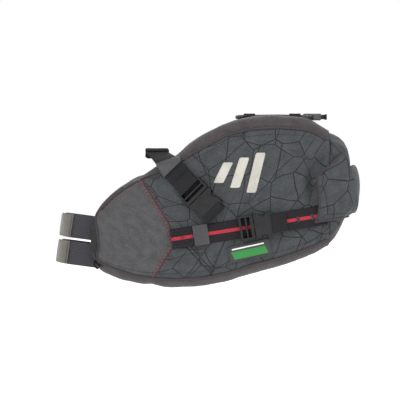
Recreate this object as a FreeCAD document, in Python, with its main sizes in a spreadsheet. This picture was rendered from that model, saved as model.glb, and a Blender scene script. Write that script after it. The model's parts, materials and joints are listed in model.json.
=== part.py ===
import FreeCAD, Part
import math
import os
import Sketcher

# Roll-top saddle bag for a bicycle: a tapered fabric shell that hangs from the saddle's two rails
# and is strapped round the seatpost, with a rolled closure at its rear end.
#
# Frame, millimetres: the origin is on the seatpost's axis, halfway up the upper post strap.
# +X points to the rear of the bicycle, +Z up and -Y to the bicycle's left.

Vector = FreeCAD.Vector
doc = FreeCAD.newDocument("saddle_bag")
sheet = doc.addObject("Spreadsheet::Sheet", "Sizes")

# ---- Driving dimensions -------------------------------------------------------------------------
SIZES = {
    # the fabric shell
    "nose_x": 15.0,             # front face of the shell, behind the post
    "bag_length": 247.0,        # nose to mouth, along X
    "bag_height": 174.0,        # lowest to highest point of the side outline
    "bag_width": 124.0,         # outside width at the parallel rear half
    "bag_bottom": -61.5,        # height of the lowest point
    "shell_wall": 2.0,          # coated fabric with its foam
    "stiffener_wall": 1.5,      # plastic sheet inside the base and the nose
    "top_band": 11.0,           # how far the top panel comes down the side
    "nose_trim": 3.0,           # the same, over the nose
    "bottom_band": 8.0,
    "nose_band": 7.0,
    # the closure
    "closure_gap": 0.4,         # between the shell's mouth and the collar
    "collar_depth": 22.0,
    "roll_thickness": 14.0,
    "roll_height": 52.0,
    "flap_wall": 2.0,
    "closure_strip": 2.0,       # stiff strip that the collar is rolled round
    # seatpost straps
    "post_radius": 13.6,
    "post_tilt": 7.75,          # degrees from upright, its top towards the rear
    "strap_play": 0.1,          # between a strap and the tube that it holds
    "post_strap_width": 25.0,
    "post_strap_wall": 1.5,
    "post_strap_pitch": 28.1,   # centre to centre, along the post
    "tail_wall": 3.0,           # hook-and-loop tail on the outside of the strap
    "tail_play": 0.4,
    # saddle rails
    "rail_radius": 3.5,
    "rail_spread": 44.0,        # between the two rails' axes
    "rail_x": 84.0,
    "rail_z": 77.0,
    "rail_web_width": 24.0,
    "web_wall": 1.5,
    # compression straps
    "side_web_width": 20.0,
    "side_slope": 9.2,          # degrees, rising to the rear
    "rail_slope": 45.7,         # degrees, falling to the rear
    # buckles
    "buckle_height": 6.4,
    "buckle_wall": 1.4,
    "plug_length": 15.0,        # ladder frame of the plug
    "prong_length": 14.0,
    "socket_length": 22.0,
    "buckle_margin": 2.75,      # buckle's edge beyond the webbing's edge
    "buckle_play": 0.4,
    "plug_travel": 20.0,
    # top lacing
    "cord_radius": 1.5,
    "cord_z": 115.5,
    "cord_span": 40.0,          # between the two long runs
    "cord_bend": 9.0,
    "loop_wall": 1.2,
    "loop_width": 12.0,
    "lock_width": 13.0,
    "lock_height": 7.0,
    "lock_play": 0.4,           # round the cord and round the plunger's stem
    "lock_bore": 2.6,
    "plunger_travel": 3.5,
    "spring_pressed": 1.5,      # length of the lock's spring when the plunger is all the way in
    # flat trim
    "trim_wall": 0.8,
    "label_length": 44.0,
    "label_height": 16.5,
    "patch_size": 50.0,
}
for row, (alias, number) in enumerate(SIZES.items(), start=1):
    sheet.set("A%d" % row, alias)
    sheet.set("B%d" % row, str(number))
    sheet.setAlias("B%d" % row, alias)
doc.recompute()


def size(text):
    """Value of an expression written with the sheet's aliases, such as 'web_wall / 2'."""
    return float(sheet.evalExpression(bound(text)))


def bound(text):
    """The same expression with each alias given as a cell of the sheet."""
    words = text.replace("(", " ( ").replace(")", " ) ").split(" ")
    return " ".join("Sizes." + word if word in SIZES else word for word in words)


# ---- Side outline and plan of the shell -----------------------------------------------------------
# share of the length, of the height (bottom and top edge) and of the width, then the corner radius
STATIONS = [
    (0.000, 0.193, 0.360, 0.330, 10.0),
    (0.024, 0.112, 0.455, 0.430, 14.0),
    (0.077, 0.072, 0.545, 0.540, 16.0),
    (0.162, 0.032, 0.632, 0.640, 18.0),
    (0.247, 0.009, 0.687, 0.724, 20.0),
    (0.344, 0.000, 0.745, 0.807, 20.0),
    (0.461, 0.008, 0.871, 0.904, 20.0),
    (0.578, 0.043, 0.953, 1.000, 20.0),
    (0.676, 0.083, 0.991, 1.000, 20.0),
    (0.761, 0.115, 1.000, 1.000, 20.0),
    (0.891, 0.175, 0.991, 1.000, 20.0),
    (1.000, 0.244, 0.922, 1.000, 18.0),
]


def station_x(share):
    return "nose_x + %s * bag_length" % share


def height(share):
    return "bag_bottom + %s * bag_height" % share


def outline_at(x):
    """Bottom, top and half-width of the shell at a place along it."""
    share = (x - size("nose_x")) / size("bag_length")
    share = min(max(share, 0.0), 1.0)
    for near, far in zip(STATIONS, STATIONS[1:]):
        if share <= far[0]:
            part = (share - near[0]) / (far[0] - near[0])
            low, top, wide = [near[k] + part * (far[k] - near[k]) for k in (1, 2, 3)]
            bottom = size("bag_bottom")
            return (bottom + low * size("bag_height"), bottom + top * size("bag_height"),
                    wide * size("bag_width") / 2)


# ---- Helpers --------------------------------------------------------------------------------------
NODES = {}


def keep(name, part):
    """Give a finished sub-part its name, which is also the name of its file."""
    part.Label = name
    NODES[name] = part
    return part


def corner(number):
    """A sketch coordinate as an expression, whether it is given as text or as a number."""
    return bound(number) if isinstance(number, str) else repr(float(number))


def polygon(sketch, points):
    """Closed outline whose corners are held at expressions of the sheet."""
    spots = [Vector(*(float(sheet.evalExpression(corner(c))) for c in point), 0) for point in points]
    first = sketch.GeometryCount
    for k in range(len(points)):
        sketch.addGeometry(Part.LineSegment(spots[k], spots[(k + 1) % len(points)]), False)
    for k, point in enumerate(points):
        follower = first + (k + 1) % len(points)
        sketch.addConstraint(Sketcher.Constraint("Coincident", first + k, 2, follower, 1))
        for kind, spot, text in (("DistanceX", spots[k].x, point[0]), ("DistanceY", spots[k].y, point[1])):
            held = sketch.addConstraint(Sketcher.Constraint(kind, -1, 1, first + k, 1, spot))
            sketch.setExpression("Constraints[%d]" % held, corner(text))


def circle(sketch, x, y, radius):
    """Circle whose centre and radius are held at expressions of the sheet."""
    spot = [float(sheet.evalExpression(corner(c))) for c in (x, y, radius)]
    ring = sketch.addGeometry(Part.Circle(Vector(spot[0], spot[1], 0), Vector(0, 0, 1), spot[2]), False)
    for kind, args, text in (("DistanceX", (-1, 1, ring, 3, spot[0]), x),
                             ("DistanceY", (-1, 1, ring, 3, spot[1]), y),
                             ("Radius", (ring, spot[2]), radius)):
        held = sketch.addConstraint(Sketcher.Constraint(kind, *args))
        sketch.setExpression("Constraints[%d]" % held, corner(text))


def sketch_in(body, name, role, offset=None):
    """Sketch on one of the body's own origin planes, moved along the plane's normal."""
    plane = [p for p in body.Origin.OriginFeatures if p.Role == role][0]
    sketch = body.newObject("Sketcher::SketchObject", name)
    sketch.AttachmentSupport = [(plane, "")]
    sketch.MapMode = "FlatFace"
    if offset is not None:
        sketch.setExpression("AttachmentOffset.Base.z", corner(offset))
    return sketch


def pad(body, name, role, outlines, length, offset=None, both_ways=False):
    """Pad of one or more outlines; the length is an expression."""
    sketch = sketch_in(body, name + "_sketch", role, offset)
    for outline in outlines:
        polygon(sketch, outline)
    feature = body.newObject("PartDesign::Pad", name)
    feature.Profile = sketch
    feature.setExpression("Length", corner(length))
    feature.Midplane = both_ways
    doc.recompute()
    return feature


def pocket(body, name, role, outlines, length, offset=None, both_ways=False, flip=False, rings=()):
    """Pocket of outlines and rings; it stops part.py when it takes nothing away."""
    before = body.Shape.Volume
    sketch = sketch_in(body, name + "_sketch", role, offset)
    for outline in outlines:
        polygon(sketch, outline)
    for ring in rings:
        circle(sketch, *ring)
    feature = body.newObject("PartDesign::Pocket", name)
    feature.Profile = sketch
    feature.setExpression("Length", corner(length))
    feature.Midplane = both_ways
    feature.Reversed = flip
    doc.recompute()
    if body.Shape.Volume > before - 0.01:
        raise RuntimeError("%s of %s cuts nothing" % (name, body.Name))
    return feature


def block(low_u, high_u, low_v, high_v):
    """Corners of a rectangle, each side an expression or a number."""
    return [(low_u, low_v), (high_u, low_v), (high_u, high_v), (low_u, high_v)]


def feature(name, shape):
    """Finished shape as a feature of the document."""
    made = doc.addObject("Part::Feature", name)
    made.Shape = shape
    return made


def boolean(kind, name, base, tool):
    """Part::Cut or Part::Common of two objects of the document."""
    made = doc.addObject("Part::" + kind, name)
    made.Base = base
    made.Tool = tool
    doc.recompute()
    return made


def placed(origin, u, n):
    """Placement whose X runs along u and whose Z runs along n."""
    u = Vector(u).normalize()
    n = Vector(n).normalize()
    v = n.cross(u)
    n = u.cross(v)
    turn = FreeCAD.Matrix(u.x, v.x, n.x, origin.x, u.y, v.y, n.y, origin.y,
                          u.z, v.z, n.z, origin.z, 0, 0, 0, 1)
    return FreeCAD.Placement(turn)


# ---- Shell ----------------------------------------------------------------------------------------
def section(name, x, low, top, half, radius):
    """Upright rounded rectangle at x; low, top, half and radius are expressions."""
    sketch = doc.addObject("Sketcher::SketchObject", name)
    a, b, c, r = [size(text) for text in (low, top, half, radius)]
    sides = [((c - r, a), (-c + r, a)), ((-c, a + r), (-c, b - r)),
             ((-c + r, b), (c - r, b)), ((c, b - r), (c, a + r))]
    middles = [(-c + r, a + r, 180), (-c + r, b - r, 90), (c - r, b - r, 0), (c - r, a + r, 270)]
    for k in range(4):
        (x0, y0), (x1, y1) = sides[k]
        sketch.addGeometry(Part.LineSegment(Vector(x0, y0, 0), Vector(x1, y1, 0)), False)
    for mx, my, start in middles:
        ring = Part.Circle(Vector(mx, my, 0), Vector(0, 0, 1), r)
        bend = Part.ArcOfCircle(ring, math.radians(start), math.radians(start + 90))
        sketch.addGeometry(bend, False)
    for k in range(4):
        sketch.addConstraint(Sketcher.Constraint("Tangent", k, 2, 4 + k, 2))
        sketch.addConstraint(Sketcher.Constraint("Tangent", 4 + k, 1, (k + 1) % 4, 1))
    for k, kind in enumerate(("Horizontal", "Vertical", "Horizontal", "Vertical")):
        sketch.addConstraint(Sketcher.Constraint(kind, k))
    held = [("DistanceY", (-1, 1, 0, 1, a), low), ("DistanceY", (-1, 1, 2, 1, b), top),
            ("DistanceX", (-1, 1, 3, 1, c), half), ("DistanceX", (1, 1, -1, 1, c), half)]
    for kind, args, text in held:
        number = sketch.addConstraint(Sketcher.Constraint(kind, *args))
        sketch.setExpression("Constraints[%d]" % number, bound(text))
    for k in range(4):
        number = sketch.addConstraint(Sketcher.Constraint("Radius", 4 + k, r))
        sketch.setExpression("Constraints[%d]" % number, bound(radius))
    sketch.Placement = FreeCAD.Placement(Vector(0, 0, 0), FreeCAD.Rotation(Vector(0, 1, 0), Vector(0, 0, 1),
                                                                           Vector(1, 0, 0), "ZXY"))
    sketch.setExpression("Placement.Base.x", bound(x))
    return sketch


def shell_loft(name, inset):
    """Closed loft of the shell's stations, each side moved in by the expression inset."""
    sections = []
    for k, (along, low, top, wide, radius) in enumerate(STATIONS):
        x = station_x(along)
        if k == 0:
            x = "%s + %s" % (x, inset)
        if k == len(STATIONS) - 1 and inset != "0":
            x = "%s + 1" % x
        sections.append(section("%s_section_%d" % (name, k), x, "%s + %s" % (height(low), inset),
                                "%s - ( %s )" % (height(top), inset),
                                "%s * bag_width / 2 - ( %s )" % (wide, inset),
                                "%s - ( %s )" % (radius, inset)))
    loft = doc.addObject("Part::Loft", name)
    loft.Sections = sections
    loft.Solid = True
    loft.Ruled = True
    doc.recompute()
    return loft


outer = shell_loft("outer_form", "0")
inner = shell_loft("inner_form", "shell_wall")
core = shell_loft("core_form", "shell_wall + stiffener_wall")
shell = outer.Shape.cut(inner.Shape)
FAR = 400.0


def slab(points, y_low, y_high):
    """Outline in the XZ plane, as solid between two places across the bag."""
    wire = Part.makePolygon([Vector(x, y_low, z) for x, z in points + points[:1]])
    return Part.Face(wire).extrude(Vector(0, y_high - y_low, 0))


TRIM_ENDS, BAND_STARTS = 0.25, 0.47     # shares of the length between which the top band widens


def edge_line(top):
    """Points along the bottom or the top edge of the side, a band's width inside it."""
    points = []
    for along, low, high, _wide, _radius in STATIONS[2:]:
        x = size(station_x(along))
        share = min(max((along - TRIM_ENDS) / (BAND_STARTS - TRIM_ENDS), 0), 1)
        band = size("nose_trim") + share * (size("top_band") - size("nose_trim"))
        points.append((x, size(height(high)) - band if top else size(height(low)) + size("bottom_band")))
    mouth = points[-1]
    return points + [(mouth[0] + 40, mouth[1])]


front_x = size("nose_x + nose_band")
lower_edge = edge_line(False)
upper_edge = edge_line(True)
side_field = [(front_x, size(height(0.19)))] + lower_edge + upper_edge[::-1]
side_field += [(front_x, size(height(0.40)))]
side_left = shell.common(slab(side_field, -FAR, 0))
side_right = shell.common(slab(side_field, 0, FAR))
bands = shell.cut(slab(side_field, -FAR, FAR))

# The nose panel reaches back to these places along the top and the bottom edge.
nose_top_x = size(station_x(0.175))
nose_low_x = size(station_x(0.110))
mid_z = size(height(0.40))
nose_region = slab([(-FAR, -FAR), (nose_low_x, -FAR), (nose_low_x, mid_z), (nose_top_x, mid_z),
                    (nose_top_x, FAR), (-FAR, FAR)], -FAR, FAR)
upper_region = slab([(nose_top_x, mid_z), (FAR, mid_z), (FAR, FAR), (nose_top_x, FAR)], -FAR, FAR)
lower_region = slab([(nose_low_x, -FAR), (FAR, -FAR), (FAR, mid_z), (nose_low_x, mid_z)], -FAR, FAR)
keep("nose_panel", feature("nose_panel", bands.common(nose_region)))
keep("top_panel", feature("top_panel", bands.common(upper_region)))
keep("bottom_panel", feature("bottom_panel", bands.common(lower_region)))

# The stitched seam between the plain front of each side and its printed rear.
seam = [(0.17, 0.75), (0.338, 0.365), (0.354, 0.244), (0.23, -0.05)]
seam_line = [(size(station_x(a)), size(height(b))) for a, b in seam]
ahead = slab([(-FAR, seam_line[0][1])] + seam_line + [(-FAR, seam_line[-1][1])], -FAR, FAR)
for hand, side in (("left", side_left), ("right", side_right)):
    keep(hand + "_gusset", feature(hand + "_gusset", side.common(ahead)))
    keep(hand + "_side_panel", feature(hand + "_side_panel", side.cut(ahead)))

# Stiffening sheets inside the nose and along the base.
lining = inner.Shape.cut(core.Shape)
nose_stiffener = lining.common(Part.makeBox(2 * size("nose_band"), FAR, size("0.35 * bag_height"),
                                            Vector(size("nose_x"), -FAR / 2, size(height(0.12)))))
keep("nose_stiffener", feature("nose_stiffener", nose_stiffener))
base_region = slab([(size(station_x(0.15)), -FAR)] + [(x, z) for x, z in lower_edge if x > size(station_x(0.2))][:-2]
                   + [(size(station_x(0.9)), -FAR)], -FAR, FAR)
keep("base_stiffener", feature("base_stiffener", lining.common(base_region)))

# ---- Closure ----------------------------------------------------------------------------------------
mouth_x = size("nose_x + bag_length")
collar_half = "bag_width / 2 + closure_gap"


def collar_loft(name, inset, ends):
    """Tapered cap behind the mouth, closed at its rear end."""
    start, stop = ends
    shares = [(start, 0.244, 0.922, "18"), (0.45, 0.272, 0.892, "18"), (stop, 0.360, 0.800, "16")]
    sections = []
    for k, (along, low, top, radius) in enumerate(shares):
        x = "nose_x + bag_length + closure_gap + %s * collar_depth" % along
        half = "%s - ( %s ) - %s" % (collar_half, inset, (0, 0, 4)[k])
        sections.append(section("%s_section_%d" % (name, k), x, "%s + %s" % (height(low), inset),
                                "%s - ( %s )" % (height(top), inset), half, "%s - ( %s )" % (radius, inset)))
    loft = doc.addObject("Part::Loft", name)
    loft.Sections = sections
    loft.Solid = True
    loft.Ruled = True
    return loft


collar_outside = collar_loft("collar_outside", "0", (0, 1))
collar_inside = collar_loft("collar_inside", "flap_wall", (-0.1, 0.9))
keep("rear_collar", boolean("Cut", "rear_collar", collar_outside, collar_inside))

# The roll: a flattened bar of wound fabric that lies across the rear, round a stiff strip.
roll_x = size("nose_x + bag_length + closure_gap + collar_depth") + size("roll_thickness") / 2
roll_z = size(height(0.575))
roll_half = size("bag_width") / 2 - 6


def flat_bar(thick, tall, half, x, z):
    """Bar across the bag whose section is a slot: flat faces and round ends."""
    r = thick / 2
    h = tall / 2 - r
    path = [Part.makeLine(Vector(-r, 0, -h), Vector(-r, 0, h)),
            Part.Arc(Vector(-r, 0, h), Vector(0, 0, h + r), Vector(r, 0, h)).toShape(),
            Part.makeLine(Vector(r, 0, h), Vector(r, 0, -h)),
            Part.Arc(Vector(r, 0, -h), Vector(0, 0, -h - r), Vector(-r, 0, -h)).toShape()]
    bar = Part.Face(Part.Wire(path)).extrude(Vector(0, 2 * half, 0))
    bar.translate(Vector(x, -half, z))
    return bar


strip_core = flat_bar(size("closure_strip"), size("roll_height - roll_thickness"), roll_half + 2, roll_x, roll_z)
roll = flat_bar(size("roll_thickness"), size("roll_height"), roll_half, roll_x, roll_z)
keep("closure_roll", feature("closure_roll", roll.cut(strip_core)))
keep("closure_strip", feature("closure_strip", strip_core))


# ---- Webbing ----------------------------------------------------------------------------------------
def ribbon(stops, width, thick):
    """Flat strap through stops, each (middle of its lower face, direction across, direction up)."""
    rings = []
    for middle, across, up in stops:
        across = Vector(across).normalize() * (width / 2)
        rise = Vector(up).normalize() * thick
        corners = [middle - across, middle + across, middle + across + rise, middle - across + rise]
        rings.append(Part.makePolygon(corners + corners[:1]))
    return Part.makeLoft(rings, True, True)


def wall_frame(hand, x_from, x_to):
    """Direction along the side wall between two places, its outward normal and a point finder."""
    sign = -1 if hand == "left" else 1
    near = outline_at(x_from)[2]
    far = outline_at(x_to)[2]
    along = Vector(x_to - x_from, sign * (far - near), 0).normalize()
    outward = Vector(along.y * -sign, along.x * sign, 0)
    outward = outward if outward.y * sign > 0 else outward * -1

    def point(x, z, off=0.0):
        y = sign * (near + (far - near) * (x - x_from) / (x_to - x_from))
        return Vector(x, y, z) + outward * off
    return along, outward, point


WIDE_FROM = 0.344
WIDE_TO = 0.578
slope = math.radians(size("side_slope"))
drop = math.radians(size("rail_slope"))
side_x = size(station_x(0.656))
side_z = size(height(0.352))
rail_buckle_x = size(station_x(0.438))
rail_buckle_z = size(height(0.565))
web = size("web_wall")
LIFT = 0.3                      # moving pieces and loose buckles stand this far off the cloth
WEB_STOP = 3.6                  # webbing ends this far short of the plug's mouth
SHOULDER = (11, 18, -9)         # from the saddle rail to where its strap bends over the bag's shoulder
HANDS = ("left", "right")


# ---- Buckles ----------------------------------------------------------------------------------------
def side_release_buckle(name, web_width, where):
    """Plug, its two latches and the socket; u runs into the socket, n away from the cloth."""
    half = web_width + " / 2 + buckle_margin"
    wide_in = web_width + " / 2 + buckle_play"
    channel = "web_wall + buckle_play"
    plug = doc.addObject("PartDesign::Body", name + "_plug")
    pad(plug, name + "_ladder", "XY_Plane",
        [block("0 - plug_length", 0, "0 - ( %s )" % half, half)],
        "buckle_height - %s" % LIFT, offset=LIFT)
    bars = [block("0 - plug_length + 2", "0 - plug_length / 2 - 1", "0 - %s / 2" % web_width,
                  "%s / 2" % web_width),
            block("0 - plug_length / 2 + 1", "0 - 2.5", "0 - %s / 2" % web_width, "%s / 2" % web_width)]
    pocket(plug, name + "_windows", "XY_Plane", bars, "buckle_height + 2", offset=-1, flip=True)
    pocket(plug, name + "_channel", "YZ_Plane", [block("0 - ( %s )" % wide_in, wide_in, -1, channel)],
           "plug_length + 2", offset="0 - plug_length - 1", flip=True)
    pad(plug, name + "_tongue", "XY_Plane", [block(-1, "prong_length - 2", -2.4, 2.4)],
        "buckle_height - 3.8", offset=1.9)
    keep(name + "_plug", plug)

    reach = half + " - buckle_wall - buckle_play"
    for latch, sign in (("upper", 1), ("lower", -1)):
        body = doc.addObject("PartDesign::Body", "%s_%s_latch" % (name, latch))
        outline = [(0.4, "5.2"), (0.4, "8.2"), (5.0, "8.6"), (7.0, reach), ("prong_length - 2", reach + " - 0.4"),
                   ("prong_length", "7.8"), ("prong_length", "6.6"), (6.0, "5.8")]
        outline = [(u, "%d * ( %s )" % (sign, v)) for u, v in outline]
        pad(body, "%s_%s_prong" % (name, latch), "XY_Plane", [outline], "buckle_height - 3.8", offset=1.9)
        keep("%s_%s_latch" % (name, latch), body)

    socket = doc.addObject("PartDesign::Body", name + "_socket")
    neck = web_width + " / 2 + buckle_margin - 1"
    shape = [("buckle_play", "0 - ( %s )" % half), ("socket_length - 8", "0 - ( %s )" % half),
             ("socket_length", "0 - ( %s )" % neck), ("socket_length", neck),
             ("socket_length - 8", half), ("buckle_play", half)]
    pad(socket, name + "_case", "XY_Plane", [shape], "buckle_height - %s" % LIFT, offset=LIFT)
    inside = half + " - buckle_wall"
    pocket(socket, name + "_cavity", "YZ_Plane",
           [block("0 - ( %s )" % inside, inside, 1.5, "buckle_height - 1.4")],
           "prong_length + 1.5", offset=-0.5, flip=True)
    pocket(socket, name + "_side_windows", "XZ_Plane",
           [block(5.5, "prong_length + 0.5", 1.5, "buckle_height - 1.4")], "2 * ( %s ) + 2" % half,
           both_ways=True)
    pocket(socket, name + "_slot", "XY_Plane",
           [block("socket_length - 5", "socket_length - 2", "0 - %s / 2" % web_width, "%s / 2" % web_width)],
           "buckle_height + 2", offset=-1, flip=True)
    pocket(socket, name + "_web_channel", "YZ_Plane", [block("0 - ( %s )" % wide_in, wide_in, -1, channel)],
           7, offset="socket_length - 5.5", flip=True)
    keep(name + "_socket", socket)
    for part in ("plug", "upper_latch", "lower_latch", "socket"):
        NODES["%s_%s" % (name, part)].Placement = where


trim = size("trim_wall")
for hand in HANDS:
    # Compression strap: from its sewn patch on the side, through the plug, to the closure.
    along, outward, point = wall_frame(hand, size(station_x(WIDE_FROM)), size(station_x(WIDE_TO)))
    sign = -1 if hand == "left" else 1
    level = Vector(0, sign, 0)
    run = Vector(math.cos(slope), 0, math.sin(slope))
    start = Vector(side_x, sign * size("bag_width") / 2, side_z) + run * (size("plug_length") / 2)
    side_release_buckle(hand + "_side", "side_web_width", placed(start, run, level))
    across = level.cross(run)

    def side_point(x, off=0.0):
        """Middle of the strap on the cloth at x, on the slanted or the parallel stretch."""
        z = start.z + (x - start.x) * math.tan(slope)
        if x < size(station_x(WIDE_TO)):
            return point(x, z, off)
        return Vector(x, sign * (size("bag_width") / 2 + off), z)
    turn_x = size(station_x(WIDE_TO))
    front_x0 = size(station_x(0.352))
    strap_end = start.x - WEB_STOP
    stops = [(side_point(front_x0), across, outward), (side_point(turn_x - 0.5), across, outward),
             (side_point(turn_x + 1.5), across, level), (side_point(strap_end), across, level)]
    strap = ribbon(stops, size("side_web_width"), web).cut(outer.Shape)
    keep(hand + "_front_strap", feature(hand + "_front_strap", strap))
    tab_x = size(station_x(0.4455))
    stops = [(side_point(tab_x, web), across, outward), (side_point(tab_x + 12, web), across, outward)]
    tab = ribbon(stops, size("side_web_width"), trim)
    keep(hand + "_side_tab", feature(hand + "_side_tab", tab))
    rear_start = start.x + (size("socket_length") - 4) * math.cos(slope)
    rear_end = mouth_x + size("closure_gap") + size("collar_depth") * 0.4
    stops = [(side_point(rear_start, LIFT + 0.1), across, level),
             (side_point(rear_end, LIFT + 0.1), across, level)]
    keep(hand + "_rear_strap", feature(hand + "_rear_strap", ribbon(stops, size("side_web_width"), web)))

    # End flap of the rolled closure, outside the rear strap.
    flap_y = size("bag_width") / 2 + LIFT + 0.1 + web
    lows = [(0.945, 0.654), (1.050, 0.786), (1.068, 0.805), (1.091, 0.707), (1.114, 0.562),
            (1.118, 0.470), (1.079, 0.418), (1.058, 0.407), (0.938, 0.383), (0.957, 0.541)]
    flap_line = [(size(station_x(a)), size(height(b))) for a, b in lows]
    span = sorted((sign * flap_y, sign * (flap_y + size("flap_wall"))))
    keep(hand + "_end_flap", feature(hand + "_end_flap", slab(flap_line, *span)))

    # Rail strap: a loop round the saddle rail, over the shoulder and down the side to the plug.
    fall = along * math.cos(drop) - Vector(0, 0, 1) * math.sin(drop)
    buckle_point = point(rail_buckle_x, rail_buckle_z)
    rail_start = buckle_point + fall * (size("plug_length") / 2)
    side_release_buckle(hand + "_rail", "rail_web_width", placed(rail_start, fall, outward))
    wide = outward.cross(fall) * -sign
    rail = Vector(size("rail_x"), sign * size("rail_spread") / 2, size("rail_z"))
    bore = size("rail_radius + strap_play")
    width = size("rail_web_width")
    reach = size("plug_length / 2 + plug_travel") + 3
    shoulder = rail + Vector(SHOULDER[0], sign * SHOULDER[1], SHOULDER[2])
    foot = rail + Vector(0, sign * bore, -0.6)
    stops = [(rail_start - fall * WEB_STOP, wide, outward), (buckle_point - fall * reach, wide, outward),
             (shoulder, wide + Vector(0.5, 0, 0), Vector(-0.1, sign * 0.75, 0.65)),
             (foot, Vector(1, 0, 0), Vector(0, sign * 0.3, 0.95))]
    strip = ribbon(stops, width, web)
    ring = Part.makeCylinder(bore + web, width, rail - Vector(width / 2, 0, 0), Vector(1, 0, 0))
    hole = Part.makeCylinder(bore, width + 60, rail - Vector(width / 2 + 30, 0, 0), Vector(1, 0, 0))
    strap = ring.fuse(strip).cut(hole).cut(outer.Shape)
    keep(hand + "_rail_strap", feature(hand + "_rail_strap", strap))
    tab_stops = [(stops[k][0] + Vector(stops[k][2]).normalize() * (web + 0.05), stops[k][1], stops[k][2])
                 for k in (1, 2)]
    tab = ribbon(tab_stops, width, trim).cut(strap).cut(outer.Shape)
    keep(hand + "_rail_tab", feature(hand + "_rail_tab", tab))
    anchor_from = rail_start + fall * (size("socket_length") - 4)
    anchor_to = rail_start + fall * (size("socket_length") + 1)
    anchor = ribbon([(anchor_from, wide, outward), (anchor_to, wide, outward)], width, web).cut(outer.Shape)
    keep(hand + "_rail_anchor", feature(hand + "_rail_anchor", anchor))

    # Reflective patch: three slanted bars on the side wall.
    patch_x = size(station_x(0.640))
    patch_z = size(height(0.675))
    patch = size("patch_size")
    bars = []
    for k in range(3):
        left = patch_x - patch / 2 + k * patch / 3
        tall = patch * (0.42, 0.62, 0.82)[k] / 2
        lean = patch * 0.10
        bars.append(slab([(left - lean, patch_z - tall), (left + patch * 0.20 - lean, patch_z - tall),
                          (left + patch * 0.20 + lean, patch_z + tall), (left + lean, patch_z + tall)],
                         *sorted((sign * (size("bag_width") / 2 - 8), sign * (size("bag_width") / 2 + trim)))))
    keep(hand + "_reflective_bars", feature(hand + "_reflective_bars", Part.makeCompound(bars).cut(outer.Shape)))

# Woven label low on the left side.
label_tilt = math.radians(12.4)
label_run = Vector(math.cos(label_tilt), 0, math.sin(label_tilt))
label_middle = Vector(size(station_x(0.668)), -size("bag_width") / 2, size(height(0.218)))
half_label = label_run * (size("label_length") / 2)
label_across = Vector(-label_run.z, 0, label_run.x)
label = ribbon([(label_middle - half_label, label_across, Vector(0, -1, 0)),
                (label_middle + half_label, label_across, Vector(0, -1, 0))], size("label_height"), trim)
keep("woven_label", feature("woven_label", label))

# ---- Seatpost straps -----------------------------------------------------------------------------
tilt = math.radians(size("post_tilt"))
post_axis = Vector(math.sin(tilt), 0, math.cos(tilt))
post_rear = Vector(math.cos(tilt), 0, -math.sin(tilt))
bore = size("post_radius + strap_play")
band = size("post_strap_wall")
tail_in = bore + band + size("tail_play")
tail_out = tail_in + size("tail_wall")
strap_width = size("post_strap_width")
TAIL_FROM = 175
TAIL_SWEEP = 76
TAIL_INSET = 0.5            # the tape is narrower than its strap by this on each side
for name, along_post in (("upper", 0.0), ("lower", -size("post_strap_pitch"))):
    place = placed(post_axis * along_post, post_rear, post_axis)
    low = Vector(0, 0, -strap_width / 2)
    loop = Part.makeCylinder(bore + band, strap_width, low)
    legs = Part.makeBox(45, 2 * (bore + band), strap_width, Vector(0, -bore - band, -strap_width / 2))
    hollow = Part.makeCylinder(bore, strap_width, low)
    gap = Part.makeBox(45, 2 * bore, strap_width, Vector(0, -bore, -strap_width / 2))
    strap = loop.fuse(legs).cut(hollow).cut(gap)
    strap.Placement = place
    strap = strap.cut(outer.Shape)
    strap = max(strap.Solids, key=lambda s: -s.CenterOfMass.x)
    keep(name + "_post_strap", feature(name + "_post_strap", strap))
    tail = Part.makeCylinder(tail_out, strap_width - 2 * TAIL_INSET, low + Vector(0, 0, TAIL_INSET),
                             Vector(0, 0, 1), TAIL_SWEEP)
    tail = tail.cut(Part.makeCylinder(tail_in, strap_width, low))
    tail.rotate(Vector(0, 0, 0), Vector(0, 0, 1), TAIL_FROM)
    made = feature(name + "_strap_tail", tail)
    made.Placement = place.multiply(tail.Placement)
    keep(name + "_strap_tail", made)

# ---- Top lacing ----------------------------------------------------------------------------------
cord_r = size("cord_radius")
cord_z = size("cord_z")
span = size("cord_span") / 2
bend = size("cord_bend")
lace_front = size(station_x(0.620))
lace_rear = size(station_x(0.920))
end_reach = 8.0
end_gap = 2 * cord_r + 2.0


def cord_path():
    """Rounded rectangle whose two ends cross the bag side by side at the rear."""
    corners = [Vector(lace_rear, end_reach, cord_z), Vector(lace_rear, -span, cord_z),
               Vector(lace_front, -span, cord_z), Vector(lace_front, span, cord_z),
               Vector(lace_rear + end_gap, span, cord_z), Vector(lace_rear + end_gap, -end_reach, cord_z)]
    edges = []
    here = corners[0]
    for before, spot, after in zip(corners, corners[1:], corners[2:]):
        come = (spot - before).normalize()
        go = (after - spot).normalize()
        enter = spot - come * bend
        leave = spot + go * bend
        middle = spot + (go - come) * bend * (1 - math.sqrt(0.5))
        edges.append(Part.makeLine(here, enter))
        edges.append(Part.Arc(enter, middle, leave).toShape())
        here = leave
    edges.append(Part.makeLine(here, corners[-1]))
    return Part.Wire(edges)


path = cord_path()
ring = Part.Wire([Part.makeCircle(cord_r, Vector(lace_rear, end_reach, cord_z), Vector(0, 1, 0))])
cord = path.makePipeShell([ring], True, True)
print("cord radius %.1f, length %.1f, volume %.1f of %.1f"
      % (bend, path.Length, cord.Volume, path.Length * math.pi * cord_r ** 2))
keep("shock_cord", feature("shock_cord", cord))

# Knots on the two ends of the cord.
knot_r = 2.6
knots = []
for x, y, way in ((lace_rear, end_reach, 1), (lace_rear + end_gap, -end_reach, -1)):
    knot = Part.makeCylinder(knot_r, 2 * knot_r, Vector(x, y, cord_z), Vector(0, way, 0))
    knots.append(knot.makeChamfer(knot_r * 0.3, knot.Edges[:1] + knot.Edges[2:3]))
keep("cord_knots", feature("cord_knots", Part.makeCompound(knots)))

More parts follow.
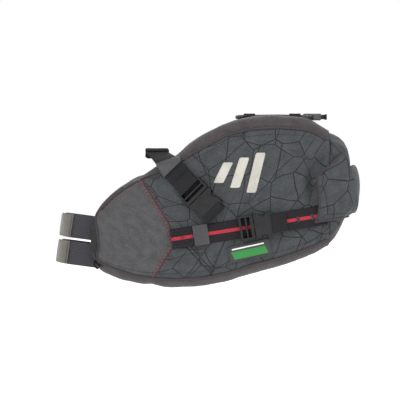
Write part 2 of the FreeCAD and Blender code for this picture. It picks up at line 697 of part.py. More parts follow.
# Webbing loops sewn to the top; the cord runs through them.
loops = []
loop_half = size("loop_width") / 2
rise = cord_r + 0.3 + size("loop_wall")
for along_share in (0.672, 0.865):
    for side in (-span, span):
        x = size(station_x(along_share))
        box = Part.makeBox(2 * loop_half, 2 * rise, 30, Vector(x - loop_half, side - rise, cord_z - 30))
        arch = Part.makeCylinder(rise, 2 * loop_half, Vector(x - loop_half, side, cord_z), Vector(1, 0, 0))
        clear = cord_r + 0.3
        inside = Part.makeBox(40, 2 * clear, 30, Vector(x - 20, side - clear, cord_z - 30))
        inside = inside.fuse(Part.makeCylinder(clear, 40, Vector(x - 20, side, cord_z), Vector(1, 0, 0)))
        loops.append(box.fuse(arch).cut(inside).cut(outer.Shape))
keep("cord_loops", feature("cord_loops", Part.makeCompound(loops)))

# Cord lock: both ends of the cord cross its barrel, and a sprung plunger goes into its rear end.
lock = doc.addObject("PartDesign::Body", "cord_lock_barrel")
lock_front = "0 - ( cord_radius + 2.2 )"
lock_rear = "%s + cord_radius + 8.5" % end_gap
pad(lock, "lock_block", "XY_Plane", [block(lock_front, lock_rear, "0 - lock_width / 2", "lock_width / 2")],
    "lock_height", both_ways=True)
pocket(lock, "lock_cord_holes", "XZ_Plane", [], "2 * lock_width", both_ways=True,
       rings=[(0, 0, "cord_radius + lock_play"), (end_gap, 0, "cord_radius + lock_play")])
pocket(lock, "lock_plunger_bore", "YZ_Plane", [], "plunger_travel + 3.5", offset=lock_rear,
       rings=[(0, 0, "lock_bore")])
plunger = doc.addObject("PartDesign::Body", "cord_lock_plunger")
head_from = lock_rear + " + plunger_travel + 0.3"
pad(plunger, "plunger_head", "XY_Plane",
    [block(head_from, head_from + " + 2.5", "0 - lock_width / 2 + 1", "lock_width / 2 - 1")],
    "lock_height - 1", both_ways=True)
stem = sketch_in(plunger, "plunger_stem_sketch", "YZ_Plane", lock_rear + " - 1.2")
circle(stem, 0, 0, "lock_bore - lock_play")
stem_pad = plunger.newObject("PartDesign::Pad", "plunger_stem")
stem_pad.Profile = stem
stem_pad.setExpression("Length", corner("plunger_travel + 2"))
doc.recompute()
coil = doc.addObject("PartDesign::Body", "cord_lock_spring")
turns = sketch_in(coil, "spring_sketch", "YZ_Plane", lock_rear + " - plunger_travel - 3.4")
circle(turns, 0, 0, "lock_bore - lock_play")
circle(turns, 0, 0, "lock_bore - lock_play - 0.8")
coil_pad = coil.newObject("PartDesign::Pad", "spring_coil")
coil_pad.Profile = turns
coil_pad.setExpression("Length", corner("spring_pressed"))
for name, body in (("cord_lock_barrel", lock), ("cord_lock_plunger", plunger), ("cord_lock_spring", coil)):
    keep(name, body)
    body.Placement = FreeCAD.Placement(Vector(lace_rear, 0, cord_z), FreeCAD.Rotation())

# ---- Checks and files ------------------------------------------------------------------------------
doc.recompute()
for made in doc.Objects:
    if "Invalid" in made.State or "Error" in made.State:
        raise RuntimeError("%s could not be computed: %s" % (made.Name, made.State))
for name, made in NODES.items():
    if made.Shape.isNull() or not made.Shape.isValid() or not made.Shape.Solids:
        raise RuntimeError("%s has no valid solid" % name)
os.makedirs("parts", exist_ok=True)
for name, made in NODES.items():
    made.Shape.exportStep("parts/%s.step" % name)
print("%d sub-parts written" % len(NODES))
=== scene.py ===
# %% [markdown]
# # A roll-top saddle bag, dressed round its CAD frame
# The CAD model says where every strap, buckle and seam lies. This script keeps that frame and builds the
# cloth, webbing and mouldings that stand on it. We load the frame first and note its box, because
# nothing that follows may outgrow it.

# %% Load the frame
import json
import math
import random
import bpy
import bmesh
import numpy as np
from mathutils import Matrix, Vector, noise
from mathutils.bvhtree import BVHTree


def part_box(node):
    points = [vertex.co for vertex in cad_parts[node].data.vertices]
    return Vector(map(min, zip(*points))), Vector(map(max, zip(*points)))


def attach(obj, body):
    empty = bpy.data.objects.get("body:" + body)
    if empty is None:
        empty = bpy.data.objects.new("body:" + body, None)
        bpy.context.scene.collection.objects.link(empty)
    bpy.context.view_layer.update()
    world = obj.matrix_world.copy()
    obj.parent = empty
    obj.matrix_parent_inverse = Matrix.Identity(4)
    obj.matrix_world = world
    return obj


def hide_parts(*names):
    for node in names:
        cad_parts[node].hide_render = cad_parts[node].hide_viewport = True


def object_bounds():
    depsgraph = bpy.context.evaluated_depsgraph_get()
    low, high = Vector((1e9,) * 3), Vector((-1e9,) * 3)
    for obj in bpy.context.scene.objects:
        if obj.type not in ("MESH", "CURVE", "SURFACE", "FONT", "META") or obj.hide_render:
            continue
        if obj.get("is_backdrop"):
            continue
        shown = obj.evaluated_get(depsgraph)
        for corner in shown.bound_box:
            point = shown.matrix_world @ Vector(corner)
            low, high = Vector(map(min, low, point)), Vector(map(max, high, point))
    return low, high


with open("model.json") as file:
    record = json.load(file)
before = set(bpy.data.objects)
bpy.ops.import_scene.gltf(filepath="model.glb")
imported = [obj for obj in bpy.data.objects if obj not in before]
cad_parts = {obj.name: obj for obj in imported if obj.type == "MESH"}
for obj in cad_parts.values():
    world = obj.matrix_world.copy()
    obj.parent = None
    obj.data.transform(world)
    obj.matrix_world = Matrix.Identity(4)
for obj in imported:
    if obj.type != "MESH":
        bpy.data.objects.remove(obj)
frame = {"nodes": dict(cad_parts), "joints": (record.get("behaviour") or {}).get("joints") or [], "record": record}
cad_box = [list(corner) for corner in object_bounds()]
MM = 0.001

# %% [markdown]
# ## Small tools for every material
# One function turns the sRGB hex colour that a designer quotes into the linear values that a shader
# wants. The others add a node with its settings and links, so each material reads as a short list.

# %% Colour and node helpers
def srgb(text, alpha=1.0):
    """'#rrggbb' as linear red, green, blue and alpha."""
    values = [int(text[k:k + 2], 16) / 255 for k in (1, 3, 5)]
    linear = [v / 12.92 if v <= 0.04045 else ((v + 0.055) / 1.055) ** 2.4 for v in values]
    return (*linear, alpha)


def node(tree, kind, inputs=None, **settings):
    """Add a node; inputs maps a socket's name or number to a value or to an output to link."""
    made = tree.nodes.new("ShaderNode" + kind)
    for name, value in settings.items():
        setattr(made, name, value)
    for name, value in (inputs or {}).items():
        socket = made.inputs[name]
        if isinstance(value, bpy.types.NodeSocket):
            tree.links.new(value, socket)
        else:
            socket.default_value = value
    return made


def material(name, **shader):
    """New material with a Principled shader; constant values go on the shader's own sockets."""
    made = bpy.data.materials.new(name)
    made.use_nodes = True
    surface = made.node_tree.nodes["Principled BSDF"]
    for socket, value in shader.items():
        surface.inputs[socket.replace("_", " ")].default_value = value
    return made, made.node_tree, surface


def ramp(tree, fac, stops):
    """Colour ramp through (place, colour) stops."""
    made = node(tree, "ValToRGB", {"Fac": fac})
    band = made.color_ramp
    while len(band.elements) < len(stops):
        band.elements.new(0.5)
    for element, (place, colour) in zip(band.elements, stops):
        element.position = place
        element.color = colour
    return made.outputs["Color"]


def calc(tree, operation, *values):
    """Result of one Math node."""
    return node(tree, "Math", dict(enumerate(values)), operation=operation).outputs[0]


def mix_colour(tree, fac, first, second, blend_type="MIX"):
    """Mix of two colours; each is a socket or a constant."""
    mixed = node(tree, "Mix", {"Factor": fac}, data_type="RGBA", blend_type=blend_type)
    slots = [socket for socket in mixed.inputs if socket.type == "RGBA"]
    for slot, value in zip(slots, (first, second)):
        if isinstance(value, bpy.types.NodeSocket):
            tree.links.new(value, slot)
        else:
            slot.default_value = value
    return [socket for socket in mixed.outputs if socket.type == "RGBA"][0]


def finish_shader(tree, surface, colour, height, distance, strength):
    """Link a material's colour, and its relief as a bump in metres."""
    tree.links.new(colour, surface.inputs["Base Color"])
    bump = node(tree, "Bump", {"Height": height, "Distance": distance, "Strength": strength})
    tree.links.new(bump.outputs[0], surface.inputs["Normal"])

# %% [markdown]
# ## Coated oxford cloth
# The shell is polyester oxford: thick yarns woven one over one, with a coating that leaves a soft, low
# sheen. Two sine waves, across and along the cloth, give the weave. Real yarns lie about 0.5 mm apart,
# which is too fine to see on a whole bag, so they are drawn at 1.1 mm. The cloth's own UV
# map is laid out in metres, so one number sets the yarn's size on every panel.

# %% Oxford cloth
YARN = 1.1 * MM          # drawn spacing of the yarns
CELL = 27 * MM           # size of the printed line pattern's cells


def weave_height(tree, across, spacing):
    """Height of a plain weave: two sets of round yarns that pass over and under each other."""
    split = node(tree, "SeparateXYZ", {0: across})
    turns = math.tau / (2 * spacing)
    waves = []
    for axis in ("X", "Y"):
        scaled = calc(tree, "MULTIPLY", split.outputs[axis], turns)
        waves.append(calc(tree, "SINE", scaled))
    return calc(tree, "ABSOLUTE", calc(tree, "MULTIPLY", *waves))


def oxford(name, dark, light, printed=None):
    """Oxford cloth between two colours, with an optional darker line print."""
    made, tree, surface = material(name, Sheen_Weight=0.05, Sheen_Roughness=0.45,
                                   Specular_IOR_Level=0.25)
    place = node(tree, "UVMap").outputs["UV"]
    yarns = weave_height(tree, place, YARN)
    mottle = node(tree, "TexNoise", {"Vector": place, "Scale": 1 / (9 * MM), "Detail": 5.0})
    heather = node(tree, "TexNoise", {"Vector": place, "Scale": 1 / (1.6 * MM), "Detail": 2.0})
    blend = calc(tree, "MULTIPLY", mottle.outputs["Fac"], heather.outputs["Fac"])
    toned = node(tree, "MapRange", {"Value": blend, "From Min": 0.12, "From Max": 0.42})
    colour = ramp(tree, toned.outputs[0], [(0.0, dark), (1.0, light)])
    shade = node(tree, "MapRange", {"Value": yarns, "To Min": 0.78, "To Max": 1.08})
    colour = mix_colour(tree, 1.0, colour, shade.outputs[0], "MULTIPLY")
    if printed:
        bent = node(tree, "TexNoise", {"Vector": place, "Scale": 1 / (60 * MM), "Detail": 2.0})
        shift = node(tree, "VectorMath", {0: bent.outputs["Color"], 1: (0.014, 0.014, 0.0)},
                     operation="MULTIPLY")
        warped = node(tree, "VectorMath", {0: place, 1: shift.outputs[0]}, operation="ADD")
        lines = []
        for size, width, turn in ((CELL, 0.38, 0.35), (1.6 * CELL, 0.32, 1.2)):
            spun = node(tree, "VectorRotate", {"Vector": warped.outputs[0], "Angle": turn})
            cells = node(tree, "TexVoronoi",
                         {"Vector": spun.outputs[0], "Scale": 1 / size, "Randomness": 0.85},
                         feature="DISTANCE_TO_EDGE", voronoi_dimensions="2D")
            edge = width * MM / size
            fade = {"Value": cells.outputs["Distance"], "From Min": edge * 0.7, "From Max": edge * 1.6,
                    "To Min": 1.0, "To Max": 0.0}
            lines.append(node(tree, "MapRange", fade).outputs[0])
        colour = mix_colour(tree, calc(tree, "MAXIMUM", *lines), colour, printed)
    rough = node(tree, "MapRange", {"Value": mottle.outputs["Fac"], "To Min": 0.58, "To Max": 0.82})
    tree.links.new(rough.outputs[0], surface.inputs["Roughness"])
    relief = calc(tree, "ADD", yarns, calc(tree, "MULTIPLY", heather.outputs["Fac"], 0.6))
    finish_shader(tree, surface, colour, relief, 0.25 * MM, 0.55)
    return made


grey_cloth = oxford("coated_oxford_grey", srgb("#3c3c3d"), srgb("#535355"))
printed_cloth = oxford("coated_oxford_printed", srgb("#313436"), srgb("#474a4c"), printed=srgb("#111114"))
black_cloth = oxford("coated_oxford_black", srgb("#302c2e"), srgb("#4a4446"))
nose_cloth = oxford("coated_oxford_black_nose", srgb("#1b191a"), srgb("#2d2a2c"))
print("cloth materials: plain grey, printed grey, two blacks")

# %% [markdown]
# ## The shape of the shell
# The shell is a tapered tube of rounded-square sections. Its side outline and plan follow the CAD
# model's: a short list of stations, scaled to the frame's own boxes. Over the nose the tops are set up to
# 4 mm lower, since the crown and the inflation raise them again. Between stations a smooth curve runs,
# because cloth over a stuffed bag has no corners along its length.

# %% Stations of the shell
shell_low, shell_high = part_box("bottom_panel")[0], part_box("top_panel")[1]
nose_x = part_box("nose_panel")[0][0]
mouth_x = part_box("top_panel")[1][0]
BOTTOM, TOP = shell_low[2], shell_high[2]
LENGTH, HEIGHT = mouth_x - nose_x, TOP - BOTTOM
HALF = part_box("right_side_panel")[1][1]
# share of the length; bottom and top edge as shares of the height; share of the half-width; radius, mm
STATIONS = np.array([
    (0.000, 0.193, 0.360, 0.330, 10.0), (0.024, 0.112, 0.440, 0.430, 14.0),
    (0.077, 0.072, 0.520, 0.540, 16.0), (0.162, 0.032, 0.610, 0.640, 18.0),
    (0.247, 0.009, 0.672, 0.724, 20.0), (0.344, 0.000, 0.745, 0.807, 20.0),
    (0.461, 0.008, 0.871, 0.904, 20.0), (0.578, 0.043, 0.953, 1.000, 20.0),
    (0.676, 0.083, 0.991, 1.000, 20.0), (0.761, 0.115, 1.000, 1.000, 20.0),
    (0.891, 0.175, 0.991, 1.000, 20.0), (1.000, 0.244, 0.922, 1.000, 18.0)])


def smooth_track(column):
    """Monotone cubic through one column of the stations, as a function of the share."""
    x, y = STATIONS[:, 0], STATIONS[:, column]
    steps = np.diff(y) / np.diff(x)
    slopes = np.concatenate([[steps[0]], np.zeros(len(x) - 2), [steps[-1]]])
    for k in range(1, len(x) - 1):
        if steps[k - 1] * steps[k] > 0:
            slopes[k] = 2 / (1 / steps[k - 1] + 1 / steps[k])

    def at(share):
        k = int(np.clip(np.searchsorted(x, share) - 1, 0, len(x) - 2))
        width = x[k + 1] - x[k]
        t = (min(max(share, x[0]), x[-1]) - x[k]) / width
        return ((2 * t ** 3 - 3 * t ** 2 + 1) * y[k] + (t ** 3 - 2 * t ** 2 + t) * width * slopes[k]
                + (3 * t ** 2 - 2 * t ** 3) * y[k + 1] + (t ** 3 - t ** 2) * width * slopes[k + 1])
    return at


low_at, high_at, half_at, radius_at = [smooth_track(k) for k in (1, 2, 3, 4)]


def section_at(x):
    """Bottom, top, half-width and corner radius of the shell at x, in metres."""
    share = (x - nose_x) / LENGTH
    return (BOTTOM + low_at(share) * HEIGHT, BOTTOM + high_at(share) * HEIGHT,
            half_at(share) * HALF, radius_at(share) * MM)


def wall_y(x, z):
    """How far the side wall stands from the middle at x and height z."""
    low, high, half, r = section_at(x)
    rise = max(z - (high - r), (low + r) - z, 0.0)
    return half - r + math.sqrt(max(r * r - min(rise, r) ** 2, 0.0))


print("shell %.0f mm long, %.0f mm high, %.0f mm wide" % (LENGTH / MM, HEIGHT / MM, 2 * HALF / MM))

# %% [markdown]
# ## Where the hardware presses the cloth
# Buckles and straps stand on the sides. The cloth bulges between them and is drawn in under them, so the
# shell needs to know their lines. Each starts midway between the hinges of its buckle's two latches.

# %% Lines of the straps
SLOPE = math.radians(9.2)      # compression strap, rising to the rear
DROP = math.radians(45.7)      # rail strap, falling to the rear
PRESS_NEAR, PRESS_FADE = (11 * MM, 13 * MM), 16 * MM   # side and rail strap's held band; where it fades


def joint_named(name):
    """A joint of the record by name."""
    return [j for j in frame["joints"] if j["name"] == name][0]


def latch_middle(prefix):
    """Point halfway between the hinges of a buckle's two latches."""
    return sum((Vector(joint_named(prefix + end)["pos_m"]) for end in ("_upper_press", "_lower_press")),
               Vector()) / 2


side_root, rail_root = latch_middle("left_side"), latch_middle("left_rail")


def line_distance(x, z, root, angle):
    """Distance from a strap's centre line in the side view, and the place along it."""
    dx, dz = x - root.x, z - root.z
    along = dx * math.cos(angle) + dz * math.sin(angle)
    return abs(dz * math.cos(angle) - dx * math.sin(angle)), along


def pressed(x, z):
    """1 where a strap holds the cloth down, fading to 0 beside it."""
    d_side, a_side = line_distance(x, z, side_root, SLOPE)
    d_rail, a_rail = line_distance(x, z, rail_root, -DROP)
    hold = 0.0
    if a_side > -0.090:
        hold = max(hold, 1 - max(d_side - PRESS_NEAR[0], 0) / PRESS_FADE)
    if -0.075 < a_rail < 0.030:
        hold = max(hold, 1 - max(d_rail - PRESS_NEAR[1], 0) / PRESS_FADE)
    return min(max(hold, 0.0), 1.0)


print("side strap root", [round(v, 4) for v in side_root],
      "rail strap root", [round(v, 4) for v in rail_root])

# %% [markdown]
# ## One sheet for the whole shell, then its panels
# Real panels are cut flat, sewn and turned, and the stuffing inside pushes them out. We lay one grid over
# the whole shell whose rows follow the panel edges and whose columns follow the slanted gusset seam,
# inflate it as cloth, and only then cut it apart along those same lines, so that the seams meet exactly.

# %% Grid of the shell
COLS_FRONT, COLS_REAR = 26, 62
ROWS_TOP, ROWS_SIDE, ROWS_LOW = 14, 40, 12
TOP_BAND, NOSE_TRIM, LOW_BAND, NOSE_BAND = 11 * MM, 3 * MM, 8 * MM, 7 * MM
CROWN, CROWN_FROM = 2.2 * MM, 60 * MM      # rise of the top's middle; full from this far behind the nose
SEAM = [(-0.05, 0.23), (0.244, 0.354), (0.365, 0.338), (0.75, 0.17)]   # share of height, of length


def seam_share(z):
    """Where the gusset seam lies along the bag at a height."""
    share = (z - BOTTOM) / HEIGHT
    return float(np.interp(share, [p[0] for p in SEAM], [p[1] for p in SEAM]))


def top_band(x):
    """How far the top panel comes down the side: little over the nose, more behind the rail strap."""
    share = min(max(((x - nose_x) / LENGTH - 0.25) / 0.22, 0), 1)
    return NOSE_TRIM + share * (TOP_BAND - NOSE_TRIM)


def side_z(x, q):
    """Height of side height q (0 low, 1 high) at x."""
    low, high, _half, _r = section_at(x)
    return low + LOW_BAND + q * (high - low - top_band(x) - LOW_BAND)


def quarter(half, r, band, share):
    """Step sideways from the middle and step in height, at a share of the way to the band's edge."""
    flat = half - r
    run = (flat + r * math.acos(max(1 - band / r, -1))) * share
    bend = max(run - flat, 0) / r
    return min(run, flat) + r * math.sin(bend), r * (1 - math.cos(bend))


def column_x(p, q):
    """Place along the bag of column p (0 to 1) at side height q (0 low, 1 high)."""
    split = COLS_FRONT / (COLS_FRONT + COLS_REAR)
    probe = 0.3
    for _ in range(6):      # the seam's place depends on the height, which depends on the place
        probe = seam_share(side_z(nose_x + probe * LENGTH, q))
    if p <= split:
        eased = (p / split) ** 1.25
        return nose_x + LENGTH * probe * eased
    return nose_x + LENGTH * (probe + (1 - probe) * (p - split) / (1 - split))


def half_ring(p):
    """Points from the top's middle round the right side to the bottom's middle."""
    ring = []
    x = column_x(p, 1.0)
    _low, high, half, r = section_at(x)
    for k in range(ROWS_TOP):
        aside, fall = quarter(half, r, top_band(x), k / ROWS_TOP)
        crown = CROWN * math.cos(math.pi / 2 * k / ROWS_TOP) * min(1, (x - nose_x) / CROWN_FROM)
        ring.append((x, aside, high - fall + crown))
    for k in range(ROWS_SIDE + 1):
        q = 1 - k / ROWS_SIDE
        x = column_x(p, q)
        z = side_z(x, q)
        ring.append((x, wall_y(x, z), z))
    x = column_x(p, 0.0)
    low, _high, half, r = section_at(x)
    for k in range(ROWS_LOW - 1, -1, -1):
        aside, rise = quarter(half, r, LOW_BAND, k / ROWS_LOW)
        ring.append((x, aside, low + rise))
    return ring


COLS = COLS_FRONT + COLS_REAR
spots = []
for c in range(COLS + 1):
    ring = half_ring(c / COLS)
    spots.append(ring + [(x, -y, z) for x, y, z in ring[-2:0:-1]])
around = len(spots[0])
print("shell grid: %d columns of %d points" % (COLS + 1, around))

# %% [markdown]
# ## Inflating the shell
# The cloth solver does what the stuffing does: a little pressure pushes the panels out, and cloth that is
# cut 3.5% larger than its frame wrinkles between the places that hold it. The two ends are pinned, the
# straps and seams hold in part. How far a point may travel is capped, so the bag keeps its size.

# %% Simulate the shell
CAP_TRAVEL, TUCK = 2.0 * MM, 0.9 * MM      # most that a point moves; how far the straps press in
CLOTH_EASE, CLOTH_STEPS, PRESSURE = 0.035, 20, 3.0
SEAM_HOLD, GUSSET_HOLD, OFF_TOP = 0.55, 0.35, 0.03
grid = np.array(spots)
rng = np.random.default_rng(7)


def hold_at(column, row):
    """Pin weight of one grid point."""
    x, y, z = grid[column, row]
    hold = pressed(x, z) if abs(y) > OFF_TOP else 0.0
    if column == COLS_FRONT:
        hold = max(hold, GUSSET_HOLD)
    elif min(row, around - row) in (ROWS_TOP, ROWS_TOP + ROWS_SIDE):
        hold = max(hold, SEAM_HOLD)
    if column >= COLS - 1 or column <= 2:
        hold = 1.0
    return hold


holds = np.array([[hold_at(c, r) for r in range(around)] for c in range(COLS + 1)])
tuck = np.array([[pressed(x, z) for x, _y, z in ring] for ring in grid])
grid[:, :, 1] -= np.sign(grid[:, :, 1]) * tuck * TUCK * (np.abs(grid[:, :, 1]) > OFF_TOP)


def grid_faces(columns, ring):
    """Quads of a closed tube of columns."""
    return [(c * ring + r, c * ring + (r + 1) % ring, (c + 1) * ring + (r + 1) % ring, (c + 1) * ring + r)
            for c in range(columns - 1) for r in range(ring)]


def inflate(points, weights):
    """Run the cloth on a closed copy of the shell and return the moved points."""
    columns, ring = points.shape[:2]
    mesh = bpy.data.meshes.new("shell_cloth")
    ends = [list(range(ring)), [(columns - 1) * ring + r for r in range(ring)][::-1]]
    jitter = points + rng.normal(0, 0.15 * MM, points.shape)
    mesh.from_pydata(jitter.reshape(-1, 3).tolist(), [], grid_faces(columns, ring) + ends)
    solid = bmesh.new()
    solid.from_mesh(mesh)
    if solid.calc_volume(signed=True) < 0:      # pressure pushes along the normals
        mesh.flip_normals()
    solid.free()
    mesh.update()
    body = bpy.data.objects.new("shell_cloth", mesh)
    bpy.context.scene.collection.objects.link(body)
    pins = body.vertex_groups.new(name="pins")
    for index, weight in enumerate(weights.reshape(-1)):
        pins.add([index], float(weight), "REPLACE")
    modifier = body.modifiers.new("Cloth", "CLOTH")
    cloth = modifier.settings
    cloth.quality = 6
    cloth.mass = 0.25
    cloth.tension_stiffness = 18
    cloth.compression_stiffness = 12
    cloth.shear_stiffness = 6
    cloth.bending_stiffness = 0.35
    cloth.use_pressure = True
    cloth.uniform_pressure_force = PRESSURE
    cloth.vertex_group_mass = "pins"
    cloth.pin_stiffness = 1.0
    cloth.shrink_min = -CLOTH_EASE
    cloth.effector_weights.gravity = 0.0
    modifier.point_cache.frame_end = CLOTH_STEPS
    for step in range(1, CLOTH_STEPS + 1):
        bpy.context.scene.frame_set(step)
    settled = body.evaluated_get(bpy.context.evaluated_depsgraph_get())
    flat = np.empty(len(mesh.vertices) * 3)
    settled.data.vertices.foreach_get("co", flat)
    bpy.context.scene.frame_set(1)
    bpy.data.objects.remove(body)
    bpy.data.meshes.remove(mesh)
    return flat.reshape(points.shape)


travel = inflate(grid, holds) - grid
for _ in range(3):             # the solver leaves point-to-point noise, finer than cloth can bend
    ends = np.concatenate([travel[:1], travel, travel[-1:]])
    beside = np.roll(travel, 1, axis=1) + np.roll(travel, -1, axis=1)
    travel = (travel * 2 + beside + ends[:-2] + ends[2:]) / 6
length = np.linalg.norm(travel, axis=2, keepdims=True)
length[length == 0] = 1.0
allowed = CAP_TRAVEL * (1 - holds[:, :, None])
travel *= np.tanh(length / (allowed + 1e-6)) * allowed / length
cloth_points = grid + travel
print("cloth moved at most %.1f mm, on average %.1f mm" % (
    np.linalg.norm(travel, axis=2).max() / MM, np.linalg.norm(travel, axis=2).mean() / MM))

# %% [markdown]
# ## Creases that the solver is too coarse for
# Short creases run out from the buckles and from the ends of the seams. They are shallow ridges added to
# the points, each a few millimetres wide, and they fade with distance from what pulls on the cloth.

# %% Creases
CREASES = [  # start and end as shares of length and height, width mm, height mm
    ((0.60, 0.93), (0.50, 0.66), 6.0, 2.4), ((0.52, 0.62), (0.56, 0.48), 4.0, -1.3),
    ((0.64, 0.42), (0.80, 0.62), 7.0, -1.8), ((0.70, 0.40), (0.93, 0.52), 6.0, 2.0),
    ((0.84, 0.86), (0.93, 0.62), 6.0, -2.6), ((0.78, 0.92), (0.88, 0.64), 7.0, 2.0),
    ((0.40, 0.22), (0.58, 0.12), 6.0, 1.0), ((0.72, 0.22), (0.92, 0.30), 5.0, 1.2),
    ((0.66, 0.16), (0.84, 0.22), 5.0, -1.0), ((0.925, 0.72), (0.935, 0.44), 6.0, -9.0),
    ((0.95, 0.70), (1.0, 0.78), 6.0, -5.0),
    ((0.30, 0.66), (0.42, 0.62), 5.0, -1.2), ((0.12, 0.30), (0.26, 0.20), 7.0, 0.8)]


def crease_height(x, z):
    """Sum of the creases at a place in the side view, in metres."""
    total = 0.0
    for (a0, b0), (a1, b1), wide, high in CREASES:
        p = Vector((x, z))
        start = Vector((nose_x + a0 * LENGTH, BOTTOM + b0 * HEIGHT))
        end = Vector((nose_x + a1 * LENGTH, BOTTOM + b1 * HEIGHT))
        run = end - start
        t = min(max((p - start).dot(run) / run.length_squared, 0), 1)
        gap = (p - start - run * t).length / (wide * MM)
        total += high * MM * math.exp(-gap * gap) * math.sin(math.pi * (0.15 + 0.85 * t))
    return total


def grid_normals(points):
    """Outward direction at each grid point of the closed tube."""
    around_step = np.roll(points, -1, axis=1) - np.roll(points, 1, axis=1)
    along_step = np.gradient(points, axis=0)
    normal = np.cross(along_step, around_step)
    normal /= np.linalg.norm(normal, axis=2, keepdims=True) + 1e-12
    centre = points.mean(axis=1, keepdims=True)
    flip = np.sign(np.sum(normal * (points - centre), axis=2, keepdims=True))
    return normal * flip


normals = grid_normals(cloth_points)
for c in range(COLS + 1):
    for r in range(around):
        x, y, z = cloth_points[c, r]
        loose = 1 - holds[c, r]
        ripple = noise.noise(Vector((x * 55, y * 40, z * 75))) * 0.7 * MM
        ripple += noise.noise(Vector((x * 140 + 7, y * 90, z * 150))) * 0.35 * MM
        side = min(max((abs(y) - 0.025) / 0.02, 0), 1)
        cloth_points[c, r] += normals[c, r] * (crease_height(x, z) * side + ripple) * loose
normals = grid_normals(cloth_points)
print("creases:", len(CREASES))

# %% [markdown]
# ## Cutting the panels
# Each panel takes its stretch of the grid. A panel gets a UV map in metres, measured along its threads,
# and a cloth thickness on its inside.

# %% Panels
CLOTH = 1.4 * MM


def thicken(piece, thickness, offset):
    """Give a sheet its thickness: offset -1 inwards, 0 both ways, 1 outwards."""
    solid = piece.modifiers.new("thickness", "SOLIDIFY")
    solid.thickness, solid.offset = thickness, offset


def patch(name, points, finish, closed=False, thickness=CLOTH):
    """Smooth sheet through a grid of points, with a UV map in metres."""
    points = np.asarray(points)
    n, m = points.shape[:2]
    mesh = bpy.data.meshes.new(name)
    ring = m if closed else m - 1
    faces = [(a * m + b, a * m + (b + 1) % m, (a + 1) * m + (b + 1) % m, (a + 1) * m + b)
             for a in range(n - 1) for b in range(ring)]
    mesh.from_pydata(points.reshape(-1, 3).tolist(), [], faces)
    u = np.concatenate([np.zeros((1, m)), np.cumsum(np.linalg.norm(np.diff(points, axis=0), axis=2), 0)])
    v = np.concatenate([np.zeros((n, 1)), np.cumsum(np.linalg.norm(np.diff(points, axis=1), axis=2), 1)], 1)
    layer = mesh.uv_layers.new(name="UVMap")
    for loop in mesh.loops:
        a, b = divmod(loop.vertex_index, m)
        layer.data[loop.index].uv = (u[:, m // 2][a] + points[0, 0, 0], v[a, b])
    mesh.update()
    made = bpy.data.objects.new(name, mesh)
    bpy.context.scene.collection.objects.link(made)
    for polygon in mesh.polygons:
        polygon.use_smooth = True
    mesh.materials.append(finish)
    if thickness:
        thicken(made, thickness, -1.0)
    return made


def finish_piece(piece, body, stands_for):
    """Say which body a piece rides on and which CAD node it replaces."""
    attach(piece, body)
    if stands_for:
        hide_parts(stands_for)


def outward(made):
    """Turn a sheet so that its faces look away from the middle of the bag."""
    mesh = made.data
    middle = Vector((nose_x + LENGTH / 2, 0, (BOTTOM + TOP) / 2))
    score = sum((p.center - middle).dot(p.normal) for p in mesh.polygons)
    if score < 0:
        mesh.flip_normals()
    return made


def columns_after(x_share):
    """First column whose side middle lies behind a share of the length."""
    for c in range(COLS + 1):
        if grid[c, ROWS_TOP + ROWS_SIDE // 2, 0] > nose_x + x_share * LENGTH:
            return c
    return COLS


nose_col = columns_after(NOSE_BAND / LENGTH)
FIRST, LAST = ROWS_TOP, ROWS_TOP + ROWS_SIDE
rings = {"right": slice(FIRST, LAST + 1), "left": slice(around - LAST, around - FIRST + 1)}
for hand, rows_of in rings.items():
    gusset = outward(patch(hand + "_gusset_cloth", cloth_points[nose_col:COLS_FRONT + 1, rows_of],
                           grey_cloth))
    panel = outward(patch(hand + "_side_cloth", cloth_points[COLS_FRONT:, rows_of], printed_cloth))
    for piece, stands_for, slot in ((gusset, "_gusset", "grey_oxford"),
                                    (panel, "_side_panel", "printed_oxford")):
        finish_piece(piece, "root", hand + stands_for)
top_rows = [r % around for r in range(-FIRST, FIRST + 1)]
low_rows = list(range(LAST, around - LAST + 1))
NOSE_END = 18           # the nose's top cloth ends and the top panel begins at this column
top_cloth = outward(patch("top_cloth", cloth_points[NOSE_END:][:, top_rows], black_cloth))
low_cloth = outward(patch("bottom_cloth", cloth_points[nose_col:][:, low_rows], black_cloth))
nose_top = cloth_points[nose_col:NOSE_END + 1][:, top_rows]
nose_parts = [outward(patch("nose_cap_cloth", cloth_points[:nose_col + 1], nose_cloth, closed=True)),
              outward(patch("nose_top_cloth", nose_top, nose_cloth))]
front_ring = cloth_points[0]
hub = front_ring.mean(axis=0)
FACE_BULGE = 1.2 * MM
face = [hub + (front_ring - hub) * s - np.array([FACE_BULGE * (1 - s * s), 0, 0])
        for s in (0.02, 0.3, 0.6, 0.85, 1.0)]
nose_parts.append(outward(patch("nose_face_cloth", face, nose_cloth, closed=True)))
for piece, stands_for in ((top_cloth, "top_panel"), (low_cloth, "bottom_panel")):
    finish_piece(piece, "root", stands_for)
for piece in nose_parts:
    finish_piece(piece, "root", "nose_panel")
print("panels cut:", 4 + 2 + len(nose_parts))

# %% [markdown]
# ## Webbing
# Nylon webbing is woven in ribs across its width, with a rounded selvedge at each edge. The compression
# strap also has a red stripe down its middle, tacked at intervals. The stripe, the ribs and the
# selvedges all follow the strap's own UV map: u runs along it in metres and v across it from 0 to 1.

# %% Webbing materials
RIB = 1.3 * MM           # drawn spacing of the ribs; real ones lie 0.6 mm apart
STRIPE_HALF = 0.085      # half of the stripe, as a share of the strap's width


